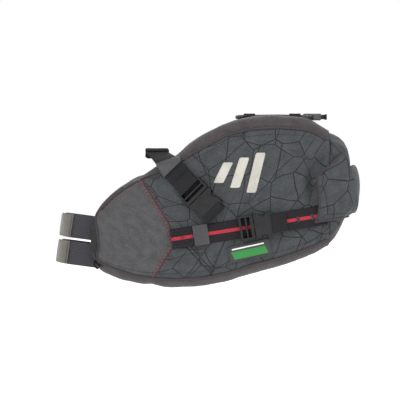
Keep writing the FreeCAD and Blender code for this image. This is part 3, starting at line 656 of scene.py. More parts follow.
def webbing(name, base, high, stripe=None):
    """Ribbed webbing, with an optional stripe down its middle."""
    made, tree, surface = material(name, Roughness=0.62, Sheen_Weight=0.04, Sheen_Roughness=0.4,
                                   Specular_IOR_Level=0.2)
    split = node(tree, "SeparateXYZ", {0: node(tree, "UVMap").outputs["UV"]})
    along, across = split.outputs["X"], split.outputs["Y"]
    turns = calc(tree, "MULTIPLY", along, math.tau / RIB)
    rib = calc(tree, "SINE", calc(tree, "ADD", turns, calc(tree, "PINGPONG", across, 34.0)))
    yarn = calc(tree, "SINE", calc(tree, "MULTIPLY", across, math.tau * 16))
    height = calc(tree, "ADD", rib, yarn)
    # Painted shade and highlight: the colour follows the ribs' height, darker in the valleys between the ribs and
    # lighter on their crowns. The stripe's darker shaded tone below is the same painted shade.
    tone = node(tree, "MapRange", {"Value": height, "From Min": -2.0, "From Max": 2.0}).outputs[0]
    colour = ramp(tree, tone, [(0.0, base), (1.0, high)])
    if stripe:
        from_middle = calc(tree, "ABSOLUTE", calc(tree, "SUBTRACT", across, 0.5))
        shaded = tuple(channel * 0.6 for channel in stripe[:3]) + (1.0,)
        colour = mix_colour(tree, calc(tree, "LESS_THAN", from_middle, STRIPE_HALF), colour,
                            ramp(tree, tone, [(0.0, shaded), (1.0, stripe)]))
    finish_shader(tree, surface, colour, height, 0.22 * MM, 0.7)
    return made


RED = srgb("#b9303f")
striped_web = webbing("nylon_webbing_red_stripe", srgb("#0d0b0e"), srgb("#221e23"), RED)
plain_web = webbing("nylon_webbing_black", srgb("#0d0c0e"), srgb("#211f22"))
post_web = webbing("nylon_webbing_charcoal", srgb("#2a2a2e"), srgb("#45454a"))


def thread(name, dark, light, rough):
    """Sewing thread, a little uneven along its length."""
    made, tree, surface = material(name, Roughness=rough)
    fibre = node(tree, "TexNoise", {"Scale": 1 / (0.8 * MM), "Detail": 2.0})
    colour = ramp(tree, fibre.outputs["Fac"], [(0.3, dark), (0.7, light)])
    tree.links.new(colour, surface.inputs["Base Color"])
    return made


thread_red = thread("polyester_thread_red", srgb("#6e3238"), srgb("#94434b"), 0.5)
thread_black = thread("polyester_thread_black", srgb("#161517"), srgb("#343236"), 0.45)
print("webbing: striped, black, charcoal; threads: red, black")

# %% [markdown]
# ## Tools for straps, stitches and tubes
# A strap is a flat section swept along a path. Each stop of the path has a place, a direction across the
# strap and a direction off the cloth. Between stops the path is rounded with a smooth curve, as webbing
# bends but never creases.

# %% Strap, tube and stitch makers
def mesh_piece(name, verts, faces, finish, uvs=None, smooth=True):
    """Mesh object from plain lists; uvs holds one pair for each vertex."""
    mesh = bpy.data.meshes.new(name)
    mesh.from_pydata([tuple(v) for v in verts], [], faces)
    if uvs:
        layer = mesh.uv_layers.new(name="UVMap")
        for loop in mesh.loops:
            layer.data[loop.index].uv = uvs[loop.vertex_index]
    mesh.materials.append(finish)
    for polygon in mesh.polygons:
        polygon.use_smooth = smooth
    mesh.update()
    made = bpy.data.objects.new(name, mesh)
    bpy.context.scene.collection.objects.link(made)
    return made


def clean_normals(piece):
    """Make every face look outwards."""
    bm = bmesh.new()
    bm.from_mesh(piece.data)
    bmesh.ops.recalc_face_normals(bm, faces=bm.faces)
    bm.to_mesh(piece.data)
    bm.free()
    return piece


def refined(stops, steps):
    """Catmull-Rom curve through stops; every stop is a list of vectors."""
    result = []
    count = len(stops)
    for k in range(count - 1):
        quad = [stops[max(k - 1, 0)], stops[k], stops[k + 1], stops[min(k + 2, count - 1)]]
        for s in range(steps):
            t = s / steps
            result.append([0.5 * (2 * b + (c - a) * t + (2 * a - 5 * b + 4 * c - d) * t * t
                                  + (3 * b - a - 3 * c + d) * t ** 3) for a, b, c, d in zip(*quad)])
    result.append(list(stops[-1]))
    return result


def strap(name, stops, width, thick, finish, steps=8):
    """Webbing through stops (place, across, off), with rounded selvedges."""
    path = refined([[Vector(a), Vector(b).normalized(), Vector(c).normalized()] for a, b, c in stops], steps)
    profile = [(-0.5, 0.5), (-0.47, 0.88), (-0.42, 1.0), (-0.2, 0.95), (0.0, 0.93), (0.2, 0.95), (0.42, 1.0),
               (0.47, 0.88), (0.5, 0.5), (0.47, 0.12), (0.42, 0.0), (-0.42, 0.0), (-0.47, 0.12)]
    verts, uvs, faces = [], [], []
    travelled = 0.0
    for k, (place, across, off) in enumerate(path):
        if k:
            travelled += (place - path[k - 1][0]).length
        across = (across - off * across.dot(off)).normalized()
        for a, h in profile:
            verts.append(place + across * (a * width) + off * (h * thick))
            uvs.append((travelled, a + 0.5))
    n = len(profile)
    for k in range(len(path) - 1):
        for j in range(n):
            faces.append((k * n + j, k * n + (j + 1) % n, (k + 1) * n + (j + 1) % n, (k + 1) * n + j))
    last = (len(path) - 1) * n
    faces.append(tuple(range(n))[::-1])
    faces.append(tuple(range(last, last + n)))
    return clean_normals(mesh_piece(name, verts, faces, finish, uvs))


def tube(points, radius, sides=8):
    """Vertices and faces of a closed tube along points."""
    verts, faces = [], []
    points = [Vector(p) for p in points]
    guide = None
    for k, point in enumerate(points):
        ahead = points[min(k + 1, len(points) - 1)] - points[max(k - 1, 0)]
        ahead.normalize()
        if guide is None:
            guide = ahead.orthogonal().normalized()
        guide = (guide - ahead * guide.dot(ahead)).normalized()
        side = ahead.cross(guide)
        for j in range(sides):
            turn = math.tau * j / sides
            verts.append(point + guide * (radius * math.cos(turn)) + side * (radius * math.sin(turn)))
    for k in range(len(points) - 1):
        for j in range(sides):
            a, b = k * sides + j, k * sides + (j + 1) % sides
            faces.append((a, b, b + sides, a + sides))
    faces.append(tuple(range(sides))[::-1])
    faces.append(tuple(range(len(verts) - sides, len(verts))))
    return verts, faces


def join_parts(name, parts, finish):
    """One mesh out of several (vertices, faces) pairs."""
    verts, faces = [], []
    for part_verts, part_faces in parts:
        base = len(verts)
        verts += part_verts
        faces += [tuple(base + i for i in face) for face in part_faces]
    return mesh_piece(name, verts, faces, finish)


def stitch(start, end, off, radius=0.26 * MM):
    """One stitch: a short thread that arches a little off the cloth."""
    start, end, off = Vector(start), Vector(end), Vector(off).normalized()
    lift = off * radius * 0.9
    arch = [start - lift, start.lerp(end, 0.25) + lift, start.lerp(end, 0.75) + lift, end - lift]
    return tube(arch, radius, 6)


def seam_stitches(line, offs, long=2.6 * MM, gap=1.3 * MM):
    """Row of stitches along a polyline; offs holds the direction off the cloth at each point."""
    line = [Vector(p) for p in line]
    marks = [0.0]
    for a, b in zip(line, line[1:]):
        marks.append(marks[-1] + (b - a).length)

    def at(distance):
        k = min(max(int(np.searchsorted(marks, distance)) - 1, 0), len(line) - 2)
        t = (distance - marks[k]) / max(marks[k + 1] - marks[k], 1e-9)
        return line[k].lerp(line[k + 1], t), Vector(offs[k]).lerp(Vector(offs[k + 1]), t)
    result = []
    here = gap
    while here + long < marks[-1]:
        (a, off), (b, _) = at(here), at(here + long)
        result.append(stitch(a, b, off))
        here += long + gap
    return result


print("strap, tube and stitch makers ready")

# %% [markdown]
# ## Seams of the shell
# Where two panels meet, a folded binding stands a millimetre proud. Red thread shows in three rows beside
# the gusset seam and in one along the nose's top edge. The other rows along the top and bottom are dark.

# %% Bindings and stitch rows
def grid_line(columns, row):
    """Points and outward directions along a row of the shell."""
    row %= around
    return ([Vector(cloth_points[c, row]) for c in columns], [Vector(normals[c, row]) for c in columns])


bindings, red_rows, dark_rows = [], [], []
for hand, top_row, low_row in (("right", FIRST, LAST), ("left", around - FIRST, around - LAST)):
    for row in (top_row, low_row):
        line, offs = grid_line(range(2, COLS), row)
        bindings.append(tube([p + o * 0.2 * MM for p, o in zip(line, offs)], 1.15 * MM, 8))
        inner = 2 if (row == top_row) == (hand == "right") else -2
        line, offs = grid_line(range(4, COLS - 2), row + inner)
        edge = [p + o * 0.12 * MM for p, o in zip(line, offs)]
        nose_end = COLS_FRONT - 2
        if row == top_row:
            red_rows += seam_stitches(edge[:nose_end], offs[:nose_end], 2.0 * MM, 1.6 * MM)
            dark_rows += seam_stitches(edge[nose_end:], offs[nose_end:], 2.2 * MM, 1.4 * MM)
        else:
            dark_rows += seam_stitches(edge, offs, 2.2 * MM, 1.4 * MM)
    side_rows = range(ROWS_SIDE + 1)
    first = FIRST if hand == "right" else around - LAST
    seam = [Vector(cloth_points[COLS_FRONT, first + k]) for k in side_rows]
    offs = [Vector(normals[COLS_FRONT, first + k]) for k in side_rows]
    bindings.append(tube([p - o * 0.35 * MM for p, o in zip(seam, offs)], 0.8 * MM, 8))
    for aside in (-3.4 * MM, -2.0 * MM, 1.4 * MM):
        row_line = [p + Vector((aside, 0, 0)) + o * 0.25 * MM for p, o in zip(seam, offs)]
        red_rows += seam_stitches(row_line, offs)
    nose_edge = [Vector(cloth_points[nose_col, first + k]) for k in side_rows]
    bindings.append(tube(nose_edge, 1.15 * MM, 8))
finish_piece(join_parts("seam_bindings", bindings, black_cloth), "root", None)
finish_piece(join_parts("red_seam_stitches", red_rows, thread_red), "root", None)
finish_piece(join_parts("dark_seam_stitches", dark_rows, thread_black), "root", None)
print("bindings:", len(bindings), "red stitches:", len(red_rows))

# %% [markdown]
# ## Finding the cloth
# Everything that is sewn or printed on the sides has to lie on the cloth as it is now, bulges and all.
# A tree of the shell's faces answers where a line from outside first meets it.

# %% Ray casting on the shell
shell_tree = BVHTree.FromPolygons([Vector(p) for p in cloth_points.reshape(-1, 3)],
                                  grid_faces(COLS + 1, around))


def on_side(x, z, sign, off=0.0):
    """Place on a side of the shell and the direction off it."""
    hit, normal, _face, _gap = shell_tree.ray_cast(Vector((x, sign * 0.2, z)), Vector((0, -sign, 0)))
    if hit is None:
        return Vector((x, sign * (wall_y(x, z) + off), z)), Vector((0, sign, 0))
    if normal.y * sign < 0:
        normal = -normal
    return hit + normal * off, normal


def on_top(x, y):
    """Height of the shell's top at a place."""
    hit = shell_tree.ray_cast(Vector((x, y, 0.3)), Vector((0, 0, -1)))[0]
    return hit.z if hit else TOP


HANDS = (("left", -1), ("right", 1))
# Fold seams of the lower side, where its lining is tacked: places as shares of length and height.
FOLD_SEAMS = [[(0.416, 0.250), (0.470, 0.165), (0.516, 0.095)],
              [(0.405, 0.236), (0.462, 0.150), (0.508, 0.083)],
              [(0.566, 0.277), (0.536, 0.180), (0.512, 0.095), (0.492, 0.048)]]
folds = []
for _hand, sign in HANDS:
    for seam_line in FOLD_SEAMS:
        fine_line = refined([[Vector((nose_x + a * LENGTH, 0, BOTTOM + b * HEIGHT))]
                             for a, b in seam_line], 8)
        folds.append(tube([on_side(p.x, p.z, sign, 0.05 * MM)[0] for (p,) in fine_line], 0.5 * MM, 8))
finish_piece(join_parts("fold_seams", folds, nose_cloth), "root", None)


def buckle_frame(prefix):
    """Origin and directions of a buckle: u into its socket, v across, n off the cloth."""
    u = -Vector(joint_named(prefix + "_plug_slide")["axis"])
    n = -Vector(joint_named(prefix + "_upper_press")["axis"])
    v = n.cross(u)
    return latch_middle(prefix) - u * 0.4 * MM, u, v, n


print("top of the bag at its middle: %.1f mm" % (on_top(0.2, 0.0) / MM))

# %% [markdown]
# ## Compression strap, rail strap and their tabs
# The compression strap starts under a sewn patch, runs below a grey tab and ends in the plug's ladder.
# The rail strap loops over the saddle rail, comes down over the shoulder and ends in its own plug.

# %% Straps on both sides
WEB = 1.5 * MM
SIDE_WEB, RAIL_WEB = 20 * MM, 24 * MM
PLUG_LONG, SOCKET_LONG = 15 * MM, 22 * MM
PLUG_PATH = 24 * MM          # clear length of strap that the sliding plug needs in front of it
ENTRY = 3.6 * MM             # how far before the plug's edge the webbing ends
FOLD_WEB, FOLD_NARROW = 1.3 * MM, 0.98      # thickness and share of width of the webbing's folded ends


def rail_frame(hand):
    """The rail buckle's frame, with its across direction pointing to the rear."""
    origin, fall, across, outward_dir = buckle_frame(hand + "_rail")
    return origin, fall, -across if across.x < 0 else across, outward_dir


def rail_loop(hand):
    """Middle and bore of the loop round the saddle rail."""
    mount = [m for m in frame["record"]["mounts"] if m["name"] == hand + "_rail_loop"][0]
    return Vector(mount["pos_m"]), mount["dims"]["r_mm"] * MM


def shoulder_of(rail, sign):
    """Where the rail strap bends over the bag's shoulder."""
    return Vector((rail.x + 11 * MM, sign * 40 * MM, rail.z - 9 * MM))


def strap_tacks(stops, spacing, width, first=6 * MM):
    """Bars of black stitches across a strap, at equal steps along it."""
    threads = []
    travelled, due = 0.0, first
    for (a, across, off), (b, _across, _off) in zip(stops, stops[1:]):
        step = (b - a).length
        while due <= travelled + step:
            spot = a.lerp(b, (due - travelled) / step)
            along = (b - a).normalized()
            for k in range(5):
                base = spot + along * ((k - 2) * 0.55 * MM) + off * (WEB + 0.05 * MM)
                half = across.normalized() * width / 2
                threads.append(stitch(base - half, base + half, off, 0.3 * MM))
            due += spacing
        travelled += step
    return threads


for hand, sign in HANDS:
    origin, run, across, level = buckle_frame(hand + "_side")
    start_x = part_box(hand + "_front_strap")[0][0]
    end_point = origin - run * ENTRY
    stops = []
    for x in np.linspace(start_x, end_point.x - 0.004, 11):
        z = origin.z + (x - origin.x) * math.tan(SLOPE)
        spot, _normal = on_side(x, z, sign, 0.15 * MM)
        if x > origin.x - 0.024:
            spot.y = origin.y + sign * 0.2 * MM
        slant = Vector((-0.18 * min(1, max(0, (0.165 - x) / 0.02)), sign, 0))
        stops.append((spot, across.copy(), slant.normalized()))
    stops.append((end_point + level * 0.2 * MM, across.copy(), level.copy()))
    piece = strap(hand + "_front_webbing", stops, SIDE_WEB, WEB, striped_web, 4)
    finish_piece(piece, "root", hand + "_front_strap")
    clear_of_plug = [stop for stop in stops[3:] if stop[0].x < origin.x - PLUG_LONG - PLUG_PATH]
    tacks = strap_tacks(clear_of_plug, 15 * MM, 7 * MM)

    # Sewn patch over the strap's front end: a doubled square of webbing, boxed with stitches.
    patch_stops = [(p + o * WEB, a, o) for p, a, o in stops[:4]]
    piece = strap(hand + "_strap_patch", patch_stops, SIDE_WEB * 1.02, 1.2 * MM, striped_web, 4)
    finish_piece(piece, "root", None)
    a0, a1 = patch_stops[0], patch_stops[-1]
    for u0, v0, u1, v1 in ((0.06, -0.4, 0.94, -0.4), (0.06, 0.4, 0.94, 0.4), (0.06, -0.4, 0.06, 0.4),
                           (0.94, -0.4, 0.94, 0.4), (0.06, -0.4, 0.94, 0.4), (0.06, 0.4, 0.94, -0.4)):
        p = a0[0].lerp(a1[0], u0) + across * v0 * SIDE_WEB + a0[2] * 1.25 * MM
        q = a0[0].lerp(a1[0], u1) + across * v1 * SIDE_WEB + a0[2] * 1.25 * MM
        tacks += seam_stitches([p, q], [a0[2], a0[2]], 1.8 * MM, 0.7 * MM)

    # Rear strap, from the socket to under the end flap.
    rear_x = min(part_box(hand + "_rear_strap")[1][0], nose_x + 0.985 * LENGTH)
    begin = origin + run * (SOCKET_LONG - 4.5 * MM) + level * 0.4 * MM
    span = (rear_x - begin.x) / math.cos(SLOPE)
    rear_stops = [(begin + run * span * t + level * lift * MM, across, level)
                  for t, lift in ((0, 0), (0.15, 0.0), (0.35, 0.5), (0.6, 0.3), (0.8, 0.0), (1.0, 0.0))]
    piece = strap(hand + "_rear_webbing", rear_stops, SIDE_WEB, WEB, striped_web, 6)
    finish_piece(piece, "closure", hand + "_rear_strap")
    # The webbing's free end folds back over the socket's rear bar.
    fold = [(origin + run * (SOCKET_LONG + along * MM) + level * lift * MM, across, off)
            for along, lift, off in ((-3.2, 1.2, -run), (-3.4, 5.8, level - run), (-0.5, 6.9, level),
                                     (4, 4.6, level + run * 0.5), (12, 2.6, level))]
    piece = strap(hand + "_webbing_fold", fold, SIDE_WEB * FOLD_NARROW, FOLD_WEB, plain_web, 8)
    finish_piece(piece, "closure", None)
    rear_tacks = strap_tacks(rear_stops[2:], 15 * MM, 7 * MM, 8 * MM)
    for part, threads, body in (("_front_tacks", tacks, "root"), ("_rear_tacks", rear_tacks, "closure")):
        finish_piece(join_parts(hand + part, threads, thread_black), body, None)

    # Rail strap: the loop round the rail, then over the shoulder to the plug.
    origin, fall, across, outward_dir = rail_frame(hand)
    rail, bore = rail_loop(hand)
    loop = []
    for k in range(15):
        turn = math.radians(-70 + 22.5 * k)
        off = Vector((0, -sign * math.sin(turn), -math.cos(turn)))
        loop.append((rail + off * (bore + 0.05 * MM), Vector((1, 0, 0)), off))
    piece = strap(hand + "_rail_loop_web", loop, RAIL_WEB, WEB, plain_web, 3)
    finish_piece(piece, "root", hand + "_rail_strap")
    flat_end = origin - fall * ENTRY + outward_dir * 0.2 * MM
    turn_point = origin - fall * (PLUG_LONG + PLUG_PATH) + outward_dir * 0.2 * MM
    foot = rail + Vector((0, sign * bore, -0.6 * MM))
    down = [(foot + Vector((0, -sign * 0.001, 0.001)), Vector((1, 0, 0)), Vector((0, sign * 0.4, 0.95))),
            (shoulder_of(rail, sign), across + Vector((0.5, 0, 0)), Vector((-0.1, sign * 0.75, 0.65))),
            (turn_point, across, outward_dir), (turn_point.lerp(flat_end, 0.08), across, outward_dir),
            (turn_point.lerp(flat_end, 0.5), across, outward_dir),
            (flat_end, across, outward_dir)]
    piece = strap(hand + "_rail_webbing", down, RAIL_WEB, WEB, plain_web, 10)
    finish_piece(piece, "root", hand + "_rail_strap")
    anchor_from = origin + fall * (SOCKET_LONG - 4.5 * MM) + outward_dir * 0.3 * MM
    anchor_to = origin + fall * (SOCKET_LONG + 4.0 * MM) + outward_dir * 0.3 * MM
    anchor = [(anchor_from, across, outward_dir), (anchor_to, across, outward_dir)]
    piece = strap(hand + "_anchor_webbing", anchor, RAIL_WEB, WEB, plain_web, 4)
    finish_piece(piece, "root", hand + "_rail_anchor")
    anchor_fold = [(SOCKET_LONG - 3.4 * MM, 5.8 * MM, outward_dir - fall),
                   (SOCKET_LONG - 0.5 * MM, 6.8 * MM, outward_dir),
                   (SOCKET_LONG + 5 * MM, 3.6 * MM, outward_dir + fall * 0.6)]
    plug_fold = [(-PLUG_LONG + 1.5 * MM, 5.4 * MM, outward_dir + fall),
                 (-PLUG_LONG - 3 * MM, 5.2 * MM, outward_dir), (-PLUG_LONG - 12 * MM, 2.4 * MM, outward_dir)]
    for part, places, body in (("_anchor_fold", anchor_fold, "root"),
                               ("_rail_fold", plug_fold, hand + "_rail_plug")):
        fold = [(origin + fall * along + outward_dir * lift, across, off) for along, lift, off in places]
        piece = strap(hand + part, fold, RAIL_WEB * FOLD_NARROW, FOLD_WEB, plain_web, 8)
        finish_piece(piece, body, None)
print("straps on both sides made")

# %% [markdown]
# ## Moulded acetal
# Side-release buckles are injection moulded in acetal: near black, a little waxy, with fine grain from
# the mould. Their edges are all rounded, since a sharp edge would cut the webbing. Every moulding here is
# an outline, extruded between two heights and bevelled, so that light runs along its edges.

# %% Acetal and mouldings
def moulded(name, dark, light, rough):
    """Moulded plastic with fine spark-eroded grain."""
    made, tree, surface = material(name, IOR=1.48, Specular_IOR_Level=0.35)
    place = node(tree, "TexCoord").outputs["Object"]
    grain = node(tree, "TexNoise", {"Vector": place, "Scale": 1 / (0.7 * MM), "Detail": 3.0})
    wear = node(tree, "TexNoise", {"Vector": place, "Scale": 1 / (7 * MM), "Detail": 4.0})
    colour = ramp(tree, wear.outputs["Fac"], [(0.35, dark), (0.7, light)])
    gloss = node(tree, "MapRange",
                 {"Value": wear.outputs["Fac"], "To Min": rough - 0.1, "To Max": rough + 0.12})
    tree.links.new(gloss.outputs[0], surface.inputs["Roughness"])
    finish_shader(tree, surface, colour, grain.outputs["Fac"], 0.08 * MM, 0.35)
    return made


acetal = moulded("moulded_acetal_black", srgb("#0b0b0d"), srgb("#151518"), 0.33)
acetal_grey = moulded("moulded_acetal_grey", srgb("#454444"), srgb("#5c5a58"), 0.5)


CORNER, CORNER_SHARE, CORNER_STEPS = 1.6, 0.22, 3       # mm, share of an edge, steps of a rounded corner
THICK_EDGE, THIN_EDGE, THIN_PLATE, SHARP_ABOVE = 0.45, 0.28, 1.6, 35     # bevels in mm; degrees


def rounded_outline(points):
    """Outline with each corner cut into a short curve."""
    result = []
    count = len(points)
    for k in range(count):
        before, here, after = (Vector(points[k - 1]), Vector(points[k]), Vector(points[(k + 1) % count]))
        enter, leave = [here.lerp(end, min(CORNER_SHARE, CORNER / max((end - here).length, 1e-6)))
                        for end in (before, after)]
        for s in range(CORNER_STEPS + 1):
            t = s / CORNER_STEPS
            result.append(enter * (1 - t) ** 2 + here * 2 * t * (1 - t) + leave * t * t)
    return result


def moulding(outline, low, high, frame_of, dome=0.0, rounded=True):
    """Vertices and faces of an outline in mm, extruded from low to high in a buckle's frame."""
    origin, u, v, n = frame_of
    points = rounded_outline(outline) if rounded else [Vector(p) for p in outline]
    middle = sum(points, Vector((0, 0))) / len(points)
    reach = max((p - middle).length for p in points)
    edge = THICK_EDGE if high - low > THIN_PLATE else THIN_EDGE
    verts, faces = [], []
    levels = ((low + 0.01, edge), (low + edge, 0.0), (high - edge, 0.0), (high, edge), (high, 2 * edge))
    for level, shrink in levels:
        for p in points:
            inner = p + (middle - p).normalized() * shrink
            rise = dome * (1 - ((inner - middle).length / reach) ** 2) if level >= high - 0.001 else 0.0
            verts.append(origin + u * inner.x * MM + v * inner.y * MM + n * (level + rise) * MM)
    count, last = len(points), (len(levels) - 1) * len(points)
    for ring in range(0, last, count):
        for k in range(count):
            a, b = ring + k, ring + (k + 1) % count
            faces.append((a, b, b + count, a + count))
    faces.append(tuple(range(count))[::-1])
    faces.append(tuple(range(last, last + count)))
    return verts, faces


def moulded_piece(name, parts, finish):
    """One moulding out of its parts, with sharp edges where flat faces meet rounded ones."""
    piece = clean_normals(join_parts(name + "_moulding", parts, finish))
    piece.data.set_sharp_from_angle(angle=math.radians(SHARP_ABOVE))
    return piece


def box_outline(u0, u1, v0, v1):
    """Corners of a rectangle in millimetres."""
    return [(u0, v0), (u1, v0), (u1, v1), (u0, v1)]


def round_bar(u, v_half, height, radius, frame_of):
    """Cross bar of a ladder, rounded where webbing runs over it."""
    origin, du, dv, dn = frame_of
    points = [origin + du * u * MM + dv * t * v_half * MM + dn * height * MM for t in (-1, -0.5, 0, 0.5, 1)]
    return tube(points, radius * MM, 12)


HEIGHT_MM = 6.4          # a buckle's height off the cloth
print("acetal mouldings ready")

# %% [markdown]
# ## Side-release buckles
# The plug is a ladder of rounded bars between two rails, with a tongue that finds the socket. Its two
# latches carry ribbed thumb pads, which show in the socket's waisted sides. The socket is two plates held
# apart by its mouth and by the block behind, where its webbing is threaded.

# %% Four buckles
def make_buckle(prefix, web_mm):
    """Plug, latches and socket of one buckle."""
    where = buckle_frame(prefix)
    half = web_mm / 2 + 2.75
    parts = []
    for side in (-1, 1):
        rail = [(-15.0, side * half * 0.97), (-7.5, side * half), (-0.2, side * half),
                (-0.2, side * (half - 2.4)), (-15.0, side * (half - 2.4))]
        parts.append(moulding(rail, 0.35, HEIGHT_MM - 0.2, where))
    parts.append(moulding(box_outline(-15.0, -12.7, -half + 1, half - 1), 2.2, HEIGHT_MM - 0.5, where))
    parts.append(round_bar(-7.6, half - 1.2, 4.2, 1.35, where))
    parts.append(moulding(box_outline(-3.6, -0.2, -half + 1, half - 1), 2.1, HEIGHT_MM, where, dome=0.3))
    tongue = [(-1, -2.4), (9, -2.2), (11.8, -1.2), (11.8, 1.2), (9, 2.2), (-1, 2.4)]
    parts.append(moulding(tongue, 1.95, 4.4, where))
    finish_piece(moulded_piece(prefix + "_plug", parts, acetal), prefix + "_plug", prefix + "_plug")
    reach = half - 1.8
    for latch, side in (("upper", 1), ("lower", -1)):
        line = [(0.5, 5.4), (0.5, 8.0), (3.2, 8.1), (5.4, 8.7), (7.0, reach - 0.15), (9.6, reach),
                (11.8, reach - 0.4), (13.3, 9.0), (13.9, 7.6), (13.2, 6.8), (10.5, 7.4), (6.0, 6.1)]
        parts = [moulding([(u, side * v) for u, v in line][::side], 1.95, 4.5, where)]
        for k in range(4):      # ribs of the thumb pad
            u = 7.4 + 1.3 * k
            rib = box_outline(u, u + 0.6, side * (reach - 0.9), side * (reach + 0.05))
            parts.append(moulding(rib, 2.2, 4.3, where, rounded=False))
        name = "%s_%s_latch" % (prefix, latch)
        finish_piece(moulded_piece(name, parts, acetal), name, name)
    parts = []
    waist = [(0.45, half - 0.3), (4.6, half)] + [
        (5.2 + 8.6 * t, half - 3.6 * math.sin(math.pi * t) ** 0.7) for t in np.linspace(0.04, 0.96, 9)]
    waist += [(14.6, half), (18.5, half - 0.5), (21.6, half - 1.6)]
    plate = waist + [(u, -v) for u, v in waist[::-1]]
    parts.append(moulding(plate, 5.0, HEIGHT_MM, where, dome=0.55, rounded=False))
    parts.append(moulding(plate, 0.35, 1.5, where, rounded=False))
    mouth = [(0.45, half - 1.5), (0.45, half * 0.985), (4.8, half), (4.8, half - 1.5)]
    block = [(14.2, half - 3.2), (14.2, half), (18.5, half - 0.5), (21.8, half - 1.6), (21.8, half - 3.4)]
    for side in (-1, 1):
        for shape, low in ((mouth, 0.6), (block, 0.5)):
            parts.append(moulding([(u, side * v) for u, v in shape], low, HEIGHT_MM - 0.2, where))
    parts.append(moulding(box_outline(14.2, 16.6, -half + 2, half - 2), 2.2, HEIGHT_MM - 0.3, where))
    parts.append(round_bar(20.4, half - 2.2, 4.0, 1.35, where))
    parts.append(moulding([(3.2, -3.2), (11.0, -2.2), (12.4, 0.0), (11.0, 2.2), (3.2, 3.2)],
                          HEIGHT_MM - 0.2, HEIGHT_MM + 0.55, where))
    body = "closure" if prefix.endswith("side") else "root"
    finish_piece(moulded_piece(prefix + "_socket", parts, acetal), body, prefix + "_socket")


for hand, _sign in HANDS:
    make_buckle(hand + "_side", SIDE_WEB / MM)
    make_buckle(hand + "_rail", RAIL_WEB / MM)
print("four buckles made")

# %% [markdown]
# ## The closure
# The collar behind the mouth is loose cloth, gathered where it meets the roll. The roll is the collar's
# end wound two and a half turns round a stiff strip, so its ends show the layers. An end flap folds
# forward over each side and hides where the strap is sewn.

# %% Collar, roll and flaps
collar_low, collar_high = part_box("rear_collar")
roll_low, roll_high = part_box("closure_roll")


RING_COUNT, SQUARENESS = 96, 0.42      # points round the collar; 1 would be an ellipse, 0 a rectangle


def ring_points(x, low, high, half):
    """Points round a rounded rectangle, spaced by angle."""
    points = []
    for k in range(RING_COUNT):
        turn = math.tau * k / RING_COUNT
        c, s = math.cos(turn), math.sin(turn)
        y = half * math.copysign(abs(c) ** SQUARENESS, c)
        z = (low + high) / 2 + (high - low) / 2 * math.copysign(abs(s) ** SQUARENESS, s)
        points.append(Vector((x, y, z)))
    return points


depth = collar_high[0] - collar_low[0]
collar_rings = []
# share of the depth; bottom and top as shares of the shell's height; inset, mm; 1 where the cloth is loose
steps = [(0.0, 0.244, 0.922, 0.0, 0), (0.12, 0.256, 0.915, 0.3, 1), (0.3, 0.282, 0.905, 0.8, 1),
         (0.5, 0.326, 0.890, 1.4, 1), (0.72, 0.385, 0.862, 3.2, 1), (0.9, 0.425, 0.822, 6.5, 1),
         (0.99, 0.455, 0.775, 13.0, 0), (1.03, 0.50, 0.68, 28.0, 0), (1.0, 0.56, 0.62, 44.0, 0)]
for share, low, high, inset, loose in steps:
    ring = ring_points(collar_low[0] + share * depth, BOTTOM + low * HEIGHT, BOTTOM + high * HEIGHT,
                       HALF + 0.3 * MM - inset * MM)
    gathered = []
    for k, p in enumerate(ring):
        out = Vector((0, p.y, p.z - (low + high) / 2 * HEIGHT - BOTTOM)).normalized()
        fold = math.sin(k * 0.9 + 1.3 * math.sin(k * 0.31)) * 0.9 + noise.noise(p * 60) * 1.2
        sway = Vector((noise.noise(p * 45) * 1.2 * MM * share, 0, 0))
        gathered.append(p + out * fold * MM * loose * (0.3 + share) + sway)
    collar_rings.append(gathered)
fine = []
for a, b in zip(collar_rings, collar_rings[1:]):
    for t in (0, 1 / 3, 2 / 3):
        fine.append([p.lerp(q, t) for p, q in zip(a, b)])
fine.append(collar_rings[-1])
collar = outward(patch("collar_cloth", [[tuple(p) for p in ring] for ring in fine], printed_cloth,
                       closed=True))
collar.data.materials.append(black_cloth)
for polygon in collar.data.polygons:
    if polygon.center.z < BOTTOM + 0.33 * HEIGHT:
        polygon.material_index = 1
collar.modifiers.new("soften", "SUBSURF").levels = 1
finish_piece(collar, "closure", "rear_collar")

roll_x, roll_z = (roll_low[0] + roll_high[0]) / 2, (roll_low[2] + roll_high[2]) / 2
thick, tall = roll_high[0] - roll_low[0], roll_high[2] - roll_low[2]
half_roll = roll_high[1]
TURNS, ROLL_ROWS, ROLL_POINTS, ROLL_CORE = 2.6, 31, 120, 1.7 * MM
ROLL_SWEEP = 17 * MM         # how far forward the roll's ends curve


def swept_forward(y):
    """How far forward the roll lies at y."""
    return ROLL_SWEEP * (abs(y) / half_roll) ** 2.5


layers = []
for j in range(ROLL_ROWS):
    y = -half_roll + 2 * half_roll * j / (ROLL_ROWS - 1)
    row = []
    for k in range(ROLL_POINTS):
        t = k / (ROLL_POINTS - 1)
        turn = math.tau * TURNS * t + 0.6
        r = (ROLL_CORE + (thick / 2 - ROLL_CORE) * t) * (1 + 0.05 * math.sin(y * 90 + turn))
        flat = (tall / 2 - thick / 2) * (0.9 + 0.1 * t)
        wrinkle = noise.noise(Vector((y * 34, turn * 0.9, 3))) * 1.1 * MM * (0.3 + t)
        pinch = 1 - 0.22 * (abs(y) / half_roll) ** 4
        row.append((roll_x - swept_forward(y) + (r + wrinkle) * math.cos(turn) * pinch,
                    y + noise.noise(Vector((turn, 5, y * 10))) * 1.0 * MM,
                    roll_z + ((r + wrinkle) + flat) * math.sin(turn) * pinch))
    layers.append(row)
roll = patch("closure_roll_cloth", layers, printed_cloth, thickness=1.1 * MM)
finish_piece(roll, "closure", "closure_roll")
stiff, stiff_tree, stiff_surface = material("extruded_polyethylene_black", Base_Color=srgb("#1b1b1c"),
                                            Roughness=0.5)
streak = node(stiff_tree, "TexNoise", {"Scale": 1 / (2 * MM), "Detail": 3.0})
